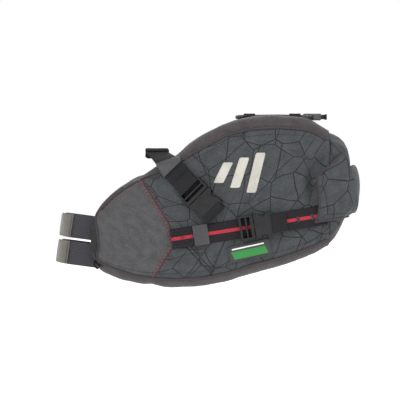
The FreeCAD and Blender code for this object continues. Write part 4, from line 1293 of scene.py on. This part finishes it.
stiff_bump = node(stiff_tree, "Bump",
                  {"Height": streak.outputs["Fac"], "Distance": 0.1 * MM, "Strength": 0.3})
stiff_tree.links.new(stiff_bump.outputs[0], stiff_surface.inputs["Normal"])
strip_low, strip_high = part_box("closure_strip")
STRIP_ROWS, STRIP_WIDE, STRIP_TALL = 25, 0.94, 0.8       # shares of the roll's width, the strip's height
strip_rows = []
for y in half_roll * STRIP_WIDE * np.linspace(-1, 1, STRIP_ROWS):
    heights = np.linspace(-0.5, 0.5, 5) * (strip_high[2] - strip_low[2]) * STRIP_TALL
    strip_rows.append([(roll_x - swept_forward(y), y, roll_z + height) for height in heights])
strip = patch("closure_strip_sheet", strip_rows, stiff, thickness=0)
thicken(strip, 1.4 * MM, 0.0)
finish_piece(strip, "closure", "closure_strip")
for name in ("nose_stiffener", "base_stiffener"):
    frame["nodes"][name].data.materials.clear()
    frame["nodes"][name].data.materials.append(stiff)


def edge_path(shares):
    """Points in the side view from shares of the shell's length and height."""
    return [(nose_x + a * LENGTH, BOTTOM + b * HEIGHT) for a, b in shares]


FLAP_FRONT = edge_path([(0.946, 0.652), (0.957, 0.545), (0.953, 0.440), (0.938, 0.383)])
FLAP_REAR = edge_path([(1.062, 0.800), (1.092, 0.700), (1.116, 0.555), (1.119, 0.470), (1.080, 0.418)])


def along_edge(points, t):
    """Smooth point at share t of an edge."""
    curve = refined([[Vector(p)] for p in points], 8)
    place = t * (len(curve) - 1)
    k = min(int(place), len(curve) - 2)
    return curve[k][0].lerp(curve[k + 1][0], place - k)


FLAP_ROWS, FLAP_COLUMNS = 29, 33
for hand, sign in HANDS:
    flap_y = abs(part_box(hand + "_end_flap")[0 if sign > 0 else 1][1])
    rows_of_flap = []
    for t in (j / (FLAP_ROWS - 1) for j in range(FLAP_ROWS)):
        a, b = along_edge(FLAP_FRONT, t), along_edge(FLAP_REAR, t)
        row = []
        for s in (k / (FLAP_COLUMNS - 1) for k in range(FLAP_COLUMNS)):
            p = a.lerp(b, s)
            puff = 3.2 * math.sin(math.pi * min(s * 1.15, 1)) ** 0.6 * (0.5 + 0.5 * math.sin(math.pi * t))
            fold = 1.3 * math.sin(6.5 * t + 5.0 * s) * s
            fold += 1.1 * noise.noise(Vector((p.x * 60, p.y * 45, sign)))
            tuck_in = 9.0 * max(s - 0.80, 0) / 0.20 * (0.35 + 0.65 * t)
            lifted = 2.4 * max(0.0, 1 - s / 0.12) * math.sin(math.pi * min(t + 0.15, 1.0))
            y = flap_y + 0.6 * MM + (puff + lifted + fold * 0.8 - tuck_in) * MM
            row.append((p.x, sign * y, p.y))
        rows_of_flap.append(row)
    flap = patch(hand + "_flap_cloth", rows_of_flap, printed_cloth, thickness=1.5 * MM)
    if (flap.data.polygons[0].normal.y * sign) < 0:
        flap.data.flip_normals()
    flap.modifiers.new("soften", "SUBSURF").levels = 1
    finish_piece(flap, "closure", hand + "_end_flap")
    edges = []
    for line in ([row[0] for row in rows_of_flap], rows_of_flap[0], rows_of_flap[-1]):
        edges.append(tube([Vector(p) + Vector((0, sign * 0.2 * MM, 0)) for p in line], 1.0 * MM, 8))
    finish_piece(join_parts(hand + "_flap_binding", edges, black_cloth), "closure", None)
print("closure made")

# %% [markdown]
# ## Film, hook tape, braid and label
# Five surfaces remain. Glass-bead film is pale and almost flat, and the grey tabs are coated cloth made
# the same way. Hook-and-loop tape is a mat of tiny fibres with no shine at all. The sheath of a shock cord
# is braided in crossing diagonals. A woven label has a satin ground, with its border and field in
# different yarns. The cord lock's spring is bright drawn wire.

# %% Film, tape, braid and label materials
def film(name, dark, light, rough):
    """Pressed film: fine beads in the colour and the gloss, and a few soft ripples."""
    made, tree, surface = material(name, Roughness=rough)
    place = node(tree, "TexCoord").outputs["Object"]
    beads = node(tree, "TexNoise", {"Vector": place, "Scale": 1 / (0.9 * MM), "Detail": 2.0})
    soft = node(tree, "TexNoise", {"Vector": place, "Scale": 1 / (14 * MM), "Detail": 2.0})
    both = calc(tree, "ADD", beads.outputs["Fac"], soft.outputs["Fac"])
    colour = ramp(tree, calc(tree, "MULTIPLY", both, 0.5), [(0.3, dark), (0.7, light)])
    finish_shader(tree, surface, colour, both, 0.12 * MM, 0.3)
    return made


reflective = film("reflective_film_silver", srgb("#9a978e"), srgb("#b9b6ae"), 0.42)
tab_cloth = film("coated_tab_grey", srgb("#272729"), srgb("#38383a"), 0.6)

tape, tape_tree, tape_surface = material("hook_and_loop_tape_taupe", Roughness=0.95, Sheen_Weight=0.3,
                                         Sheen_Roughness=0.6)
place = node(tape_tree, "TexCoord").outputs["Object"]
pile = node(tape_tree, "TexNoise",
            {"Vector": place, "Scale": 1 / (0.8 * MM), "Detail": 5.0, "Distortion": 1.2}).outputs["Fac"]
tufts = node(tape_tree, "TexVoronoi", {"Vector": place, "Scale": 1 / (1.5 * MM)}).outputs["Distance"]
colour = ramp(tape_tree, pile, [(0.3, srgb("#413d36")), (0.65, srgb("#5f5a52"))])
finish_shader(tape_tree, tape_surface, colour, calc(tape_tree, "ADD", pile, tufts), 0.5 * MM, 0.8)

braid, braid_tree, braid_surface = material("braided_sheath_black", Roughness=0.6, Sheen_Weight=0.2)
split = node(braid_tree, "SeparateXYZ", {0: node(braid_tree, "UVMap").outputs["UV"]})
BRAID_PITCH, BRAID_STRANDS = 2.4 * MM, 3
turns = calc(braid_tree, "MULTIPLY", split.outputs["X"], math.tau / BRAID_PITCH)
diagonals = [calc(braid_tree, "SINE", calc(braid_tree, "MULTIPLY_ADD", split.outputs["Y"],
                                           lean * math.tau * BRAID_STRANDS, turns)) for lean in (1, -1)]
crossing = calc(braid_tree, "MULTIPLY", *diagonals)
# Painted shade and highlight: the braid's colour follows the strands' height, darker where they dip under each
# other and lighter on their crowns.
tone = node(braid_tree, "MapRange", {"Value": crossing, "From Min": -1.0})
colour = ramp(braid_tree, tone.outputs[0], [(0.1, srgb("#161618")), (0.9, srgb("#3d3c40"))])
finish_shader(braid_tree, braid_surface, colour, crossing, 0.2 * MM, 0.7)

woven, woven_tree, woven_surface = material("woven_label_green", Roughness=0.6, Sheen_Weight=0.1)
split = node(woven_tree, "SeparateXYZ", {0: node(woven_tree, "UVMap").outputs["UV"]})
across_label, up_label = split.outputs["X"], split.outputs["Y"]


def inside_box(left, right, low, high, across=across_label):
    """1 inside a rectangle of the label, given as shares of its width and height."""
    bands = [calc(woven_tree, "MULTIPLY", calc(woven_tree, "GREATER_THAN", value, first),
                  calc(woven_tree, "LESS_THAN", value, last))
             for value, first, last in ((across, left, right), (up_label, low, high))]
    return calc(woven_tree, "MULTIPLY", *bands)


yarns, picks = [calc(woven_tree, "SINE", calc(woven_tree, "MULTIPLY", value, math.tau * count))
                for value, count in ((across_label, 60), (up_label, 24))]
thread_height = calc(woven_tree, "MULTIPLY", yarns, picks)
slanted_end = calc(woven_tree, "MULTIPLY_ADD", up_label, 0.10, across_label)
# Painted shade and highlight: the green field and the ground both darken where the threads dip and lighten on
# their crowns.
tone = node(woven_tree, "MapRange", {"Value": thread_height, "From Min": -1.0}).outputs[0]
green = ramp(woven_tree, tone, [(0.0, srgb("#0f6322")), (1.0, srgb("#208537"))])
ground = ramp(woven_tree, tone, [(0.0, srgb("#1d1c1e")), (1.0, srgb("#343235"))])
colour = mix_colour(woven_tree, inside_box(0.13, 0.93, 0.14, 0.60, slanted_end), ground, green)
colour = mix_colour(woven_tree, inside_box(0.10, 0.86, 0.71, 0.80), colour, srgb("#d8dcd4"))
finish_shader(woven_tree, woven_surface, colour, thread_height, 0.1 * MM, 0.5)

wire, wire_tree, wire_surface = material("drawn_spring_wire", Base_Color=srgb("#9a9a9c"), Metallic=1.0)
drawn = node(wire_tree, "TexNoise", {"Scale": 1 / (1.0 * MM), "Detail": 3.0})
gloss = node(wire_tree, "MapRange", {"Value": drawn.outputs["Fac"], "To Min": 0.25, "To Max": 0.45})
wire_tree.links.new(gloss.outputs[0], wire_surface.inputs["Roughness"])
frame["nodes"]["cord_lock_spring"].data.materials.clear()
frame["nodes"]["cord_lock_spring"].data.materials.append(wire)
print("film, tape, braid, label and wire ready")

# %% [markdown]
# ## Tabs, reflective bars and the label
# The bars and the label lie on the cloth, so their grids take each point from the shell below. The tabs
# lie over their straps.

# %% Tabs, bars and label
def laid_grid(corners, sign, off, columns, rows, narrow):
    """Rows of places on the side wall inside four corners given as (x, z), narrowed at both ends."""
    a, b, c, d = (Vector((x, 0, z)) for x, z in corners)
    grid_rows = []
    for j in range(rows):
        t = j / (rows - 1)
        squeeze = narrow * max(0.0, abs(2 * t - 1) - 0.92) / 0.08
        row = []
        for k in range(columns):
            s = 0.5 + (k / (columns - 1) - 0.5) * (1 - squeeze ** 2)
            flat = a.lerp(b, s).lerp(d.lerp(c, s), t)
            row.append(tuple(on_side(flat.x, flat.z, sign, off)[0]))
        grid_rows.append(row)
    return grid_rows


def facing(piece, sign):
    """Turn a laid sheet to look away from the bag."""
    if sum(polygon.normal.y for polygon in piece.data.polygons) * sign < 0:
        piece.data.flip_normals()
    return piece


PATCH = 50 * MM              # the three bars fit in a square of this size
BAR_TALL, BAR_LEAN, BAR_WIDE = (0.42, 0.62, 0.82), 0.10, 0.20      # shares of it
BAR_COLUMNS, BAR_ROWS = 9, 27
bar_faces = [(j * BAR_COLUMNS + i, j * BAR_COLUMNS + i + 1, (j + 1) * BAR_COLUMNS + i + 1,
              (j + 1) * BAR_COLUMNS + i) for j in range(BAR_ROWS - 1) for i in range(BAR_COLUMNS - 1)]
patch_x, patch_z = nose_x + 0.640 * LENGTH, BOTTOM + 0.675 * HEIGHT
for hand, sign in HANDS:
    bars = []
    for k, share in enumerate(BAR_TALL):
        left, tall = patch_x - PATCH / 2 + k * PATCH / 3, PATCH * share / 2
        lean, wide = PATCH * BAR_LEAN, PATCH * BAR_WIDE
        corners = [(left - lean, patch_z - tall), (left + wide - lean, patch_z - tall),
                   (left + wide + lean, patch_z + tall), (left + lean, patch_z + tall)]
        grid_rows = laid_grid(corners, sign, 0.25 * MM, BAR_COLUMNS, BAR_ROWS, 0.45)
        bars.append(([Vector(p) for row in grid_rows for p in row], bar_faces))
    piece = facing(join_parts(hand + "_reflective_film", bars, reflective), sign)
    thicken(piece, 0.35 * MM, 1.0)
    finish_piece(piece, "root", hand + "_reflective_bars")

    # Grey tab across the compression strap.
    tab_low, tab_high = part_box(hand + "_side_tab")
    origin, run, across, level = buckle_frame(hand + "_side")
    tab_stops = []
    for k, x in enumerate(np.linspace(tab_low[0], tab_high[0], 5)):
        z = origin.z + (x - origin.x) * math.tan(SLOPE)
        spot, _normal = on_side(x, z, sign, 1.75 * MM + (0.5 * MM if 0 < k < 4 else 0))
        spot.y = sign * max(abs(spot.y), abs(tab_low[1] if sign < 0 else tab_high[1]) - 0.9 * MM)
        tab_stops.append((spot, across, Vector((0, sign, 0))))
    piece = strap(hand + "_side_tab_cloth", tab_stops, SIDE_WEB * 1.07, 0.9 * MM, tab_cloth, 4)
    finish_piece(piece, "root", hand + "_side_tab")

    # Grey tab round the upper part of the rail strap.
    origin, fall, across, outward_dir = rail_frame(hand)
    shoulder = shoulder_of(rail_loop(hand)[0], sign)
    turn_point = origin - fall * (PLUG_LONG + PLUG_PATH)
    shoulder_off = Vector((-0.1, sign * 0.75, 0.65)).normalized()
    tab_stops = []
    for share in (0.02, 0.25, 0.5, 0.75, 0.96):
        off = shoulder_off.lerp(outward_dir, share).normalized()
        lift = WEB + 0.35 * MM + 1.1 * MM * math.sin(math.pi * share)
        spot = shoulder.lerp(turn_point, share) + off * lift
        tab_stops.append((spot, (across + Vector((0.5, 0, 0))).normalized().lerp(across, share), off))
    piece = strap(hand + "_rail_tab_cloth", tab_stops, RAIL_WEB * 1.04, 0.9 * MM, tab_cloth, 5)
    finish_piece(piece, "root", hand + "_rail_tab")

LABEL_TILT = math.radians(12.4)
label_run = Vector((math.cos(LABEL_TILT), 0, math.sin(LABEL_TILT)))
label_up = Vector((-label_run.z, 0, label_run.x))
label_middle = Vector((nose_x + 0.668 * LENGTH, 0, BOTTOM + 0.218 * HEIGHT))
verts, uvs, faces = [], [], []
LABEL_COLUMNS, LABEL_ROWS, LABEL_LONG, LABEL_TALL = 33, 13, 44 * MM, 16.5 * MM
for j in range(LABEL_ROWS):
    for k in range(LABEL_COLUMNS):
        s, t = k / (LABEL_COLUMNS - 1), j / (LABEL_ROWS - 1)
        spot = label_middle + label_run * (s - 0.5) * LABEL_LONG + label_up * (t - 0.5) * LABEL_TALL
        verts.append(on_side(spot.x, spot.z, -1, 0.3 * MM)[0])
        uvs.append((s, t))
for j in range(LABEL_ROWS - 1):
    for k in range(LABEL_COLUMNS - 1):
        a = j * LABEL_COLUMNS + k
        faces.append((a, a + 1, a + 1 + LABEL_COLUMNS, a + LABEL_COLUMNS))
label = facing(mesh_piece("woven_label_cloth", verts, faces, woven, uvs), -1)
thicken(label, 0.7 * MM, 1.0)
finish_piece(label, "root", "woven_label")
corners = [Vector(verts[k]) for k in (0, LABEL_COLUMNS - 1, len(verts) - 1, len(verts) - LABEL_COLUMNS)]
middle = sum(corners, Vector()) / 4
ring = [c.lerp(middle, 0.05) + Vector((0, -0.8 * MM, 0)) for c in corners]
threads = []
for a, b in zip(ring, ring[1:] + ring[:1]):
    threads += seam_stitches([a, b], [Vector((0, -1, 0))] * 2, 1.8 * MM, 0.8 * MM)
finish_piece(join_parts("label_stitches", threads, thread_black), "root", None)
print("tabs, bars and label laid")

# %% [markdown]
# ## Seatpost straps
# Each strap leaves the nose on one side, runs round the seatpost and comes back on the other side. Its
# free end of hook-and-loop tape lies over it, and peels off when the bag is taken down.

# %% Seatpost straps
POST_TILT = math.radians(7.75)
post_axis = Vector((math.sin(POST_TILT), 0, math.cos(POST_TILT)))
post_rear = Vector((math.cos(POST_TILT), 0, -math.sin(POST_TILT)))
POST_BORE, POST_WEB, POST_WIDTH, TAIL_IN, TAIL_WALL = 13.7 * MM, 1.5 * MM, 25 * MM, 15.6 * MM, 3 * MM

TAIL_ROWS, TAIL_COLUMNS, TAIL_FROM, TAIL_SWEEP = 23, 11, 175.5, 75     # the angles are in degrees


def round_post(middle, turn, radius):
    """Place and direction at an angle round the seatpost, from its rear."""
    off = post_rear * math.cos(turn) + Vector((0, 1, 0)) * math.sin(turn)
    return middle + off * radius, off


for name, along_post in (("upper", 0.0), ("lower", -28.1 * MM)):
    middle = post_axis * along_post
    leg_end = 24 * MM if name == "upper" else 30 * MM
    stops = [(middle + post_rear * x + Vector((0, POST_BORE, 0)), post_axis, Vector((0, 1, 0)))
             for x in (leg_end, leg_end / 2)]
    for k in range(13):
        place, off = round_post(middle, math.radians(90 + 15 * k), POST_BORE)
        stops.append((place, post_axis, off))
    stops += [(middle + post_rear * x - Vector((0, POST_BORE, 0)), post_axis, Vector((0, -1, 0)))
              for x in (leg_end / 2, leg_end)]
    piece = strap(name + "_post_webbing", stops, POST_WIDTH, POST_WEB, post_web, 4)
    finish_piece(piece, "root", name + "_post_strap")

    # The tape: hook under loop, with a clipped lower corner and a sewn edge.
    rows_of_tail = []
    for share in (j / (TAIL_ROWS - 1) for j in range(TAIL_ROWS)):
        turn = math.radians(TAIL_FROM + TAIL_SWEEP * share)
        clip = 5.0 * max(0.0, 1 - share / 0.28)
        row = []
        low, high = -POST_WIDTH / 2 + 0.6 * MM + clip * MM, POST_WIDTH / 2 - 0.6 * MM
        for k in range(TAIL_COLUMNS):
            along = low + (high - low) * k / (TAIL_COLUMNS - 1)
            radius = TAIL_IN + TAIL_WALL - 0.2 * MM + 0.2 * MM * math.sin(share * 9 + k * 0.4)
            row.append(tuple(round_post(middle + post_axis * along, turn, radius)[0]))
        rows_of_tail.append(row)
    piece = patch(name + "_tail_tape", rows_of_tail, tape, thickness=0)
    centre_off = round_post(middle, math.radians(213), 1.0)[1]
    if sum(polygon.normal.dot(centre_off) for polygon in piece.data.polygons) < 0:
        piece.data.flip_normals()
    thicken(piece, TAIL_WALL - 0.6 * MM, -1.0)
    finish_piece(piece, name + "_strap_tail", name + "_strap_tail")
    edge = []
    for turn, low in ((247.5, -POST_WIDTH / 2 + MM), (176.5, -POST_WIDTH / 2 + 6.5 * MM)):
        row = [round_post(middle + post_axis * along, math.radians(turn), TAIL_IN + TAIL_WALL)
               for along in (low, POST_WIDTH / 2 - MM)]
        off = row[0][1]
        edge += seam_stitches([place for place, _off in row], [off, off], 1.9 * MM, 0.8 * MM)
    tail = name + "_strap_tail"
    finish_piece(join_parts(name + "_tail_stitches", edge, thread_black), tail, None)

# A small loop of webbing hangs below the nose on each side of it.
for hand, sign in HANDS:
    place = shell_tree.ray_cast(Vector((0.021, sign * 0.024, -0.2)), Vector((0, 0, 1)))[0]
    place = place if place else Vector((0.021, sign * 0.024, -0.036))
    drop = [(place + Vector((x, 0, z)) * MM, (0, 1, 0), off)
            for x, z, off in ((-2, 2, (-1, 0, 0)), (-2, -3, (-1, 0, -0.2)), (1, -6.2, (0, 0, -1)),
                              (4, -3, (1, 0, -0.2)), (4, 2, (1, 0, 0)))]
    piece = strap(hand + "_nose_loop", drop, 9 * MM, 1.1 * MM, plain_web, 6)
    finish_piece(piece, "root", None)
print("seatpost straps made")

# %% [markdown]
# ## Lacing on the top
# A loop of shock cord holds a rolled jacket. It runs through four webbing loops and its two knotted ends
# cross in a cord lock.

# %% Shock cord, loops and lock
CORD_R, CORD_Z, CORD_SPAN, CORD_BEND = 1.5 * MM, 115.5 * MM, 20 * MM, 9 * MM
lace_front, lace_rear = nose_x + 0.620 * LENGTH, nose_x + 0.920 * LENGTH
END_REACH, END_GAP = 8 * MM, 2 * CORD_R + 2 * MM


def rounded_path(corners, bend, steps=7, pull=0.55):
    """Line through corners, with each inner corner replaced by an arc-like curve."""
    result = [corners[0]]
    for before, here, after in zip(corners, corners[1:], corners[2:]):
        enter = here + (before - here).normalized() * bend
        leave = here + (after - here).normalized() * bend
        near, far = enter.lerp(here, pull), leave.lerp(here, pull)
        for t in (s / steps for s in range(steps + 1)):
            result.append(enter * (1 - t) ** 3 + near * 3 * t * (1 - t) ** 2
                          + far * 3 * t * t * (1 - t) + leave * t ** 3)
    result.append(corners[-1])
    return result


def evenly(points, step):
    """The same line with every stretch cut into steps of about one length."""
    even = []
    for a, b in zip(points, points[1:]):
        pieces = max(1, int((b - a).length / step))
        even += [a.lerp(b, k / pieces) for k in range(pieces)]
    return even + [points[-1]]


def braided(name, points, radius, finish, sides=12):
    """Cord with a UV map for its braid: u along it in metres, v once round it."""
    even = evenly(points, 3 * MM)
    verts, uvs, faces = [], [], []
    travelled, guide = 0.0, Vector((0, 0, 1))
    for k, point in enumerate(even):
        ahead = (even[min(k + 1, len(even) - 1)] - even[max(k - 1, 0)]).normalized()
        guide = (guide - ahead * guide.dot(ahead)).normalized()
        side = ahead.cross(guide)
        travelled += (point - even[k - 1]).length if k else 0.0
        for j in range(sides + 1):
            turn = math.tau * j / sides
            verts.append(point + (guide * math.cos(turn) + side * math.sin(turn)) * radius)
            uvs.append((travelled, j / sides))
    ring = sides + 1
    for k in range(len(even) - 1):
        for j in range(sides):
            a = k * ring + j
            faces.append((a, a + 1, a + 1 + ring, a + ring))
    faces += [tuple(range(sides))[::-1], tuple(range(len(verts) - ring, len(verts) - 1))]
    return clean_normals(mesh_piece(name, verts, faces, finish, uvs))


corners = [Vector((lace_rear, END_REACH, CORD_Z)), Vector((lace_rear, -CORD_SPAN, CORD_Z)),
           Vector((lace_front, -CORD_SPAN, CORD_Z)), Vector((lace_front, CORD_SPAN, CORD_Z)),
           Vector((lace_rear + END_GAP, CORD_SPAN, CORD_Z)),
           Vector((lace_rear + END_GAP, -END_REACH, CORD_Z))]
cord_line = rounded_path(corners, CORD_BEND)
loop_places = [nose_x + share * LENGTH for share in (0.672, 0.865)]
even_line = evenly(cord_line, 4 * MM)
for p in even_line:
    if abs(p.y) > CORD_SPAN - 1 * MM and loop_places[0] < p.x < loop_places[1]:
        share = (p.x - loop_places[0]) / (loop_places[1] - loop_places[0])
        p.z += math.sin(math.pi * share) * (1.6 if p.y > 0 else 0.4) * MM
        p.y += math.sin(math.tau * share) * 1.2 * MM
piece = braided("shock_cord_braid", even_line, CORD_R, braid)
finish_piece(piece, "root", "shock_cord")

knot_parts = []
for spot in (corners[0] + Vector((0, 2.6 * MM, 0)), corners[-1] - Vector((0, 2.6 * MM, 0))):
    turns = []
    for k in range(49):
        t = math.tau * k / 48
        turns.append(spot + Vector(((math.cos(t) - 1.1 * math.cos(2 * t)) * 0.85, -math.sin(3 * t) * 1.2,
                                    (math.sin(t) + 1.1 * math.sin(2 * t)) * 0.85)) * MM)
    knot_parts.append(tube(turns, 0.95 * MM, 10))
knots = clean_normals(join_parts("cord_knot_braid", knot_parts, thread_black))
finish_piece(knots, "root", "cord_knots")

loop_rise = CORD_R + 0.3 * MM
for place_x in loop_places:
    for side in (-CORD_SPAN, CORD_SPAN):
        rising = (on_top(place_x, side) + CORD_Z) / 2
        feet = {}
        for sign in (-1, 1):        # the two sewn feet, from outside to inside
            feet[sign] = []
            for aside, lift, lean in ((9, 0.1, 0), (5, 0.2, 0.3)):
                y = side + sign * aside * MM
                feet[sign].append((Vector((place_x, y, on_top(place_x, y) + lift * MM)),
                                   (1, 0, 0), (0, sign * lean, 1)))
            feet[sign].append((Vector((place_x, side + sign * loop_rise, rising)), (1, 0, 0), (0, sign, 0.2)))
        arch = []
        for k in range(7):
            turn = math.radians(180 - 30 * k)
            off = Vector((0, math.cos(turn), math.sin(turn)))
            arch.append((Vector((place_x, side, CORD_Z)) + off * loop_rise, (1, 0, 0), off))
        name = "lace_loop_%d_%s" % (loop_places.index(place_x) + 1, "left" if side < 0 else "right")
        piece = strap(name, feet[-1] + arch + feet[1][::-1], 12 * MM, 1.15 * MM, plain_web, 4)
        finish_piece(piece, "root", "cord_loops")

lock_low, lock_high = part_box("cord_lock_barrel")
centre = Vector(((lock_low[0] + lock_high[0]) / 2, 0, (lock_low[2] + lock_high[2]) / 2))
push_low, push_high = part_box("cord_lock_plunger")
half_x, half_y, half_z = [(lock_high[k] - lock_low[k]) / 2 / MM - 0.1 for k in range(3)]
push_half_y, push_half_z = [(push_high[k] - push_low[k]) / 2 / MM - 0.1 for k in (1, 2)]
stem_half = push_half_y * 0.7
notch = half_x - 4.6           # the plunger's stem goes this far into the barrel's rear end
lock_frame = (centre, Vector((1, 0, 0)), Vector((0, 1, 0)), Vector((0, 0, 1)))
left_side = [(-half_x, -half_y * 0.6), (-half_x * 0.75, -half_y), (half_x * 0.3, -half_y),
             (half_x, -half_y * 0.82), (half_x, -stem_half - 0.9), (notch, -stem_half - 0.9)]
shape = left_side + [(x, -y) for x, y in left_side[::-1]]
parts = [moulding(shape, -half_z, half_z, lock_frame)]
for k in range(3):
    u = -half_x * 0.55 + 2.1 * k
    rib = box_outline(u, u + 1.0, -half_y * 0.6, half_y * 0.6)
    parts.append(moulding(rib, half_z - 0.6, half_z, lock_frame))
finish_piece(moulded_piece("lock_barrel", parts, acetal_grey), "root", "cord_lock_barrel")
cap_from = lock_high[0] + 0.25 * MM
push_frame = (Vector((cap_from, 0, (push_low[2] + push_high[2]) / 2)), *lock_frame[1:])
cap_long = (push_high[0] - cap_from) / MM - 0.1
cap = [(cap_long - 2.2, -push_half_y), (cap_long, -push_half_y * 0.8), (cap_long, push_half_y * 0.8),
       (cap_long - 2.2, push_half_y)]
parts = [moulding(cap, -push_half_z, push_half_z, push_frame),
         moulding(box_outline(0.0, cap_long - 2.3, -stem_half, stem_half),
                  -push_half_z * 0.8, push_half_z * 0.8, push_frame)]
finish_piece(moulded_piece("lock_plunger", parts, acetal), "lock_plunger", "cord_lock_plunger")

# Webbing that holds the lock and runs down the rear slope of the top.
slope = [(Vector((x, 0, on_top(min(x, mouth_x - 2 * MM), 0.0) + 0.2 * MM)), (0, 1, 0), (0.3, 0, 1))
         for x in np.linspace(lace_rear - 12 * MM, mouth_x - 1 * MM, 7)]
finish_piece(strap("lock_webbing", slope, 12 * MM, 1.2 * MM, plain_web, 5), "root", None)
print("lock barrel half sizes %.1f %.1f %.1f mm, plunger %.1f %.1f mm, cap %.1f mm" % (
    half_x, half_y, half_z, push_half_y, push_half_z, cap_long))
print("lacing made")

# %% [markdown]
# ## Floor, light and camera
# The bag stands before plain white, lit by large soft lamps from above and both sides.

# %% Stage
def soft_light(name, place, size, power):
    """Large square lamp that looks at the bag."""
    lamp = bpy.data.lights.new(name, "AREA")
    lamp.size = size
    lamp.energy = power
    made = bpy.data.objects.new(name, lamp)
    made.location = place
    aim = Vector((0.14, 0, 0.02)) - Vector(place)
    made.rotation_euler = aim.to_track_quat("-Z", "Y").to_euler()
    bpy.context.scene.collection.objects.link(made)


soft_light("key_light", (-0.45, -1.0, 1.15), 0.8, 9.5)
soft_light("rear_light", (1.1, -0.5, 0.8), 0.6, 4.5)
soft_light("back_light", (0.3, 1.2, 0.9), 1.0, 6.0)
soft_light("fill_light", (0.2, -1.6, 0.0), 1.6, 3.0)
floor_mesh = bpy.data.meshes.new("floor")
FLOOR_Z, FLOOR_HALF = cad_box[0][2] - 0.13, 6.0
floor_mesh.from_pydata([(x * FLOOR_HALF, y * FLOOR_HALF, FLOOR_Z)
                        for x, y in ((-1, -1), (1, -1), (1, 1), (-1, 1))], [], [(0, 1, 2, 3)])
floor = bpy.data.objects.new("floor", floor_mesh)
bpy.context.scene.collection.objects.link(floor)
floor_mesh.materials.append(material("matt_paper", Base_Color=srgb("#fdfdfd"), Roughness=0.9,
                                     Emission_Color=(1, 1, 1, 1), Emission_Strength=0.3)[0])
floor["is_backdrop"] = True
world = bpy.data.worlds.new("studio")
world.use_nodes = True
world.node_tree.nodes["Background"].inputs["Color"].default_value = (1, 1, 1, 1)
world.node_tree.nodes["Background"].inputs["Strength"].default_value = 1.0
bpy.context.scene.world = world
bpy.context.scene.view_settings.view_transform = "Standard"

camera_data = bpy.data.cameras.new("camera")
DISTANCE, FRAME_WIDTH, SENSOR = 1.8, 0.424, 36     # metres, metres, millimetres
camera_data.sensor_width = SENSOR
camera_data.lens = SENSOR * DISTANCE / FRAME_WIDTH
camera = bpy.data.objects.new("camera", camera_data)
target = Vector((0.1292, 0, 0.0276))
rise = math.radians(0.4)
camera.location = target + Vector((0, -math.cos(rise), math.sin(rise))) * DISTANCE
camera.rotation_euler = (target - camera.location).to_track_quat("-Z", "Y").to_euler()
bpy.context.scene.collection.objects.link(camera)
bpy.context.scene.camera = camera
print("camera at", [round(v, 3) for v in camera.location])

# %% Sizes and end
visual_box = [list(corner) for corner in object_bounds()]
for name, box in (("CAD", cad_box), ("visual", visual_box)):
    print(name, "box, mm:", [[round(value / MM, 1) for value in corner] for corner in box])
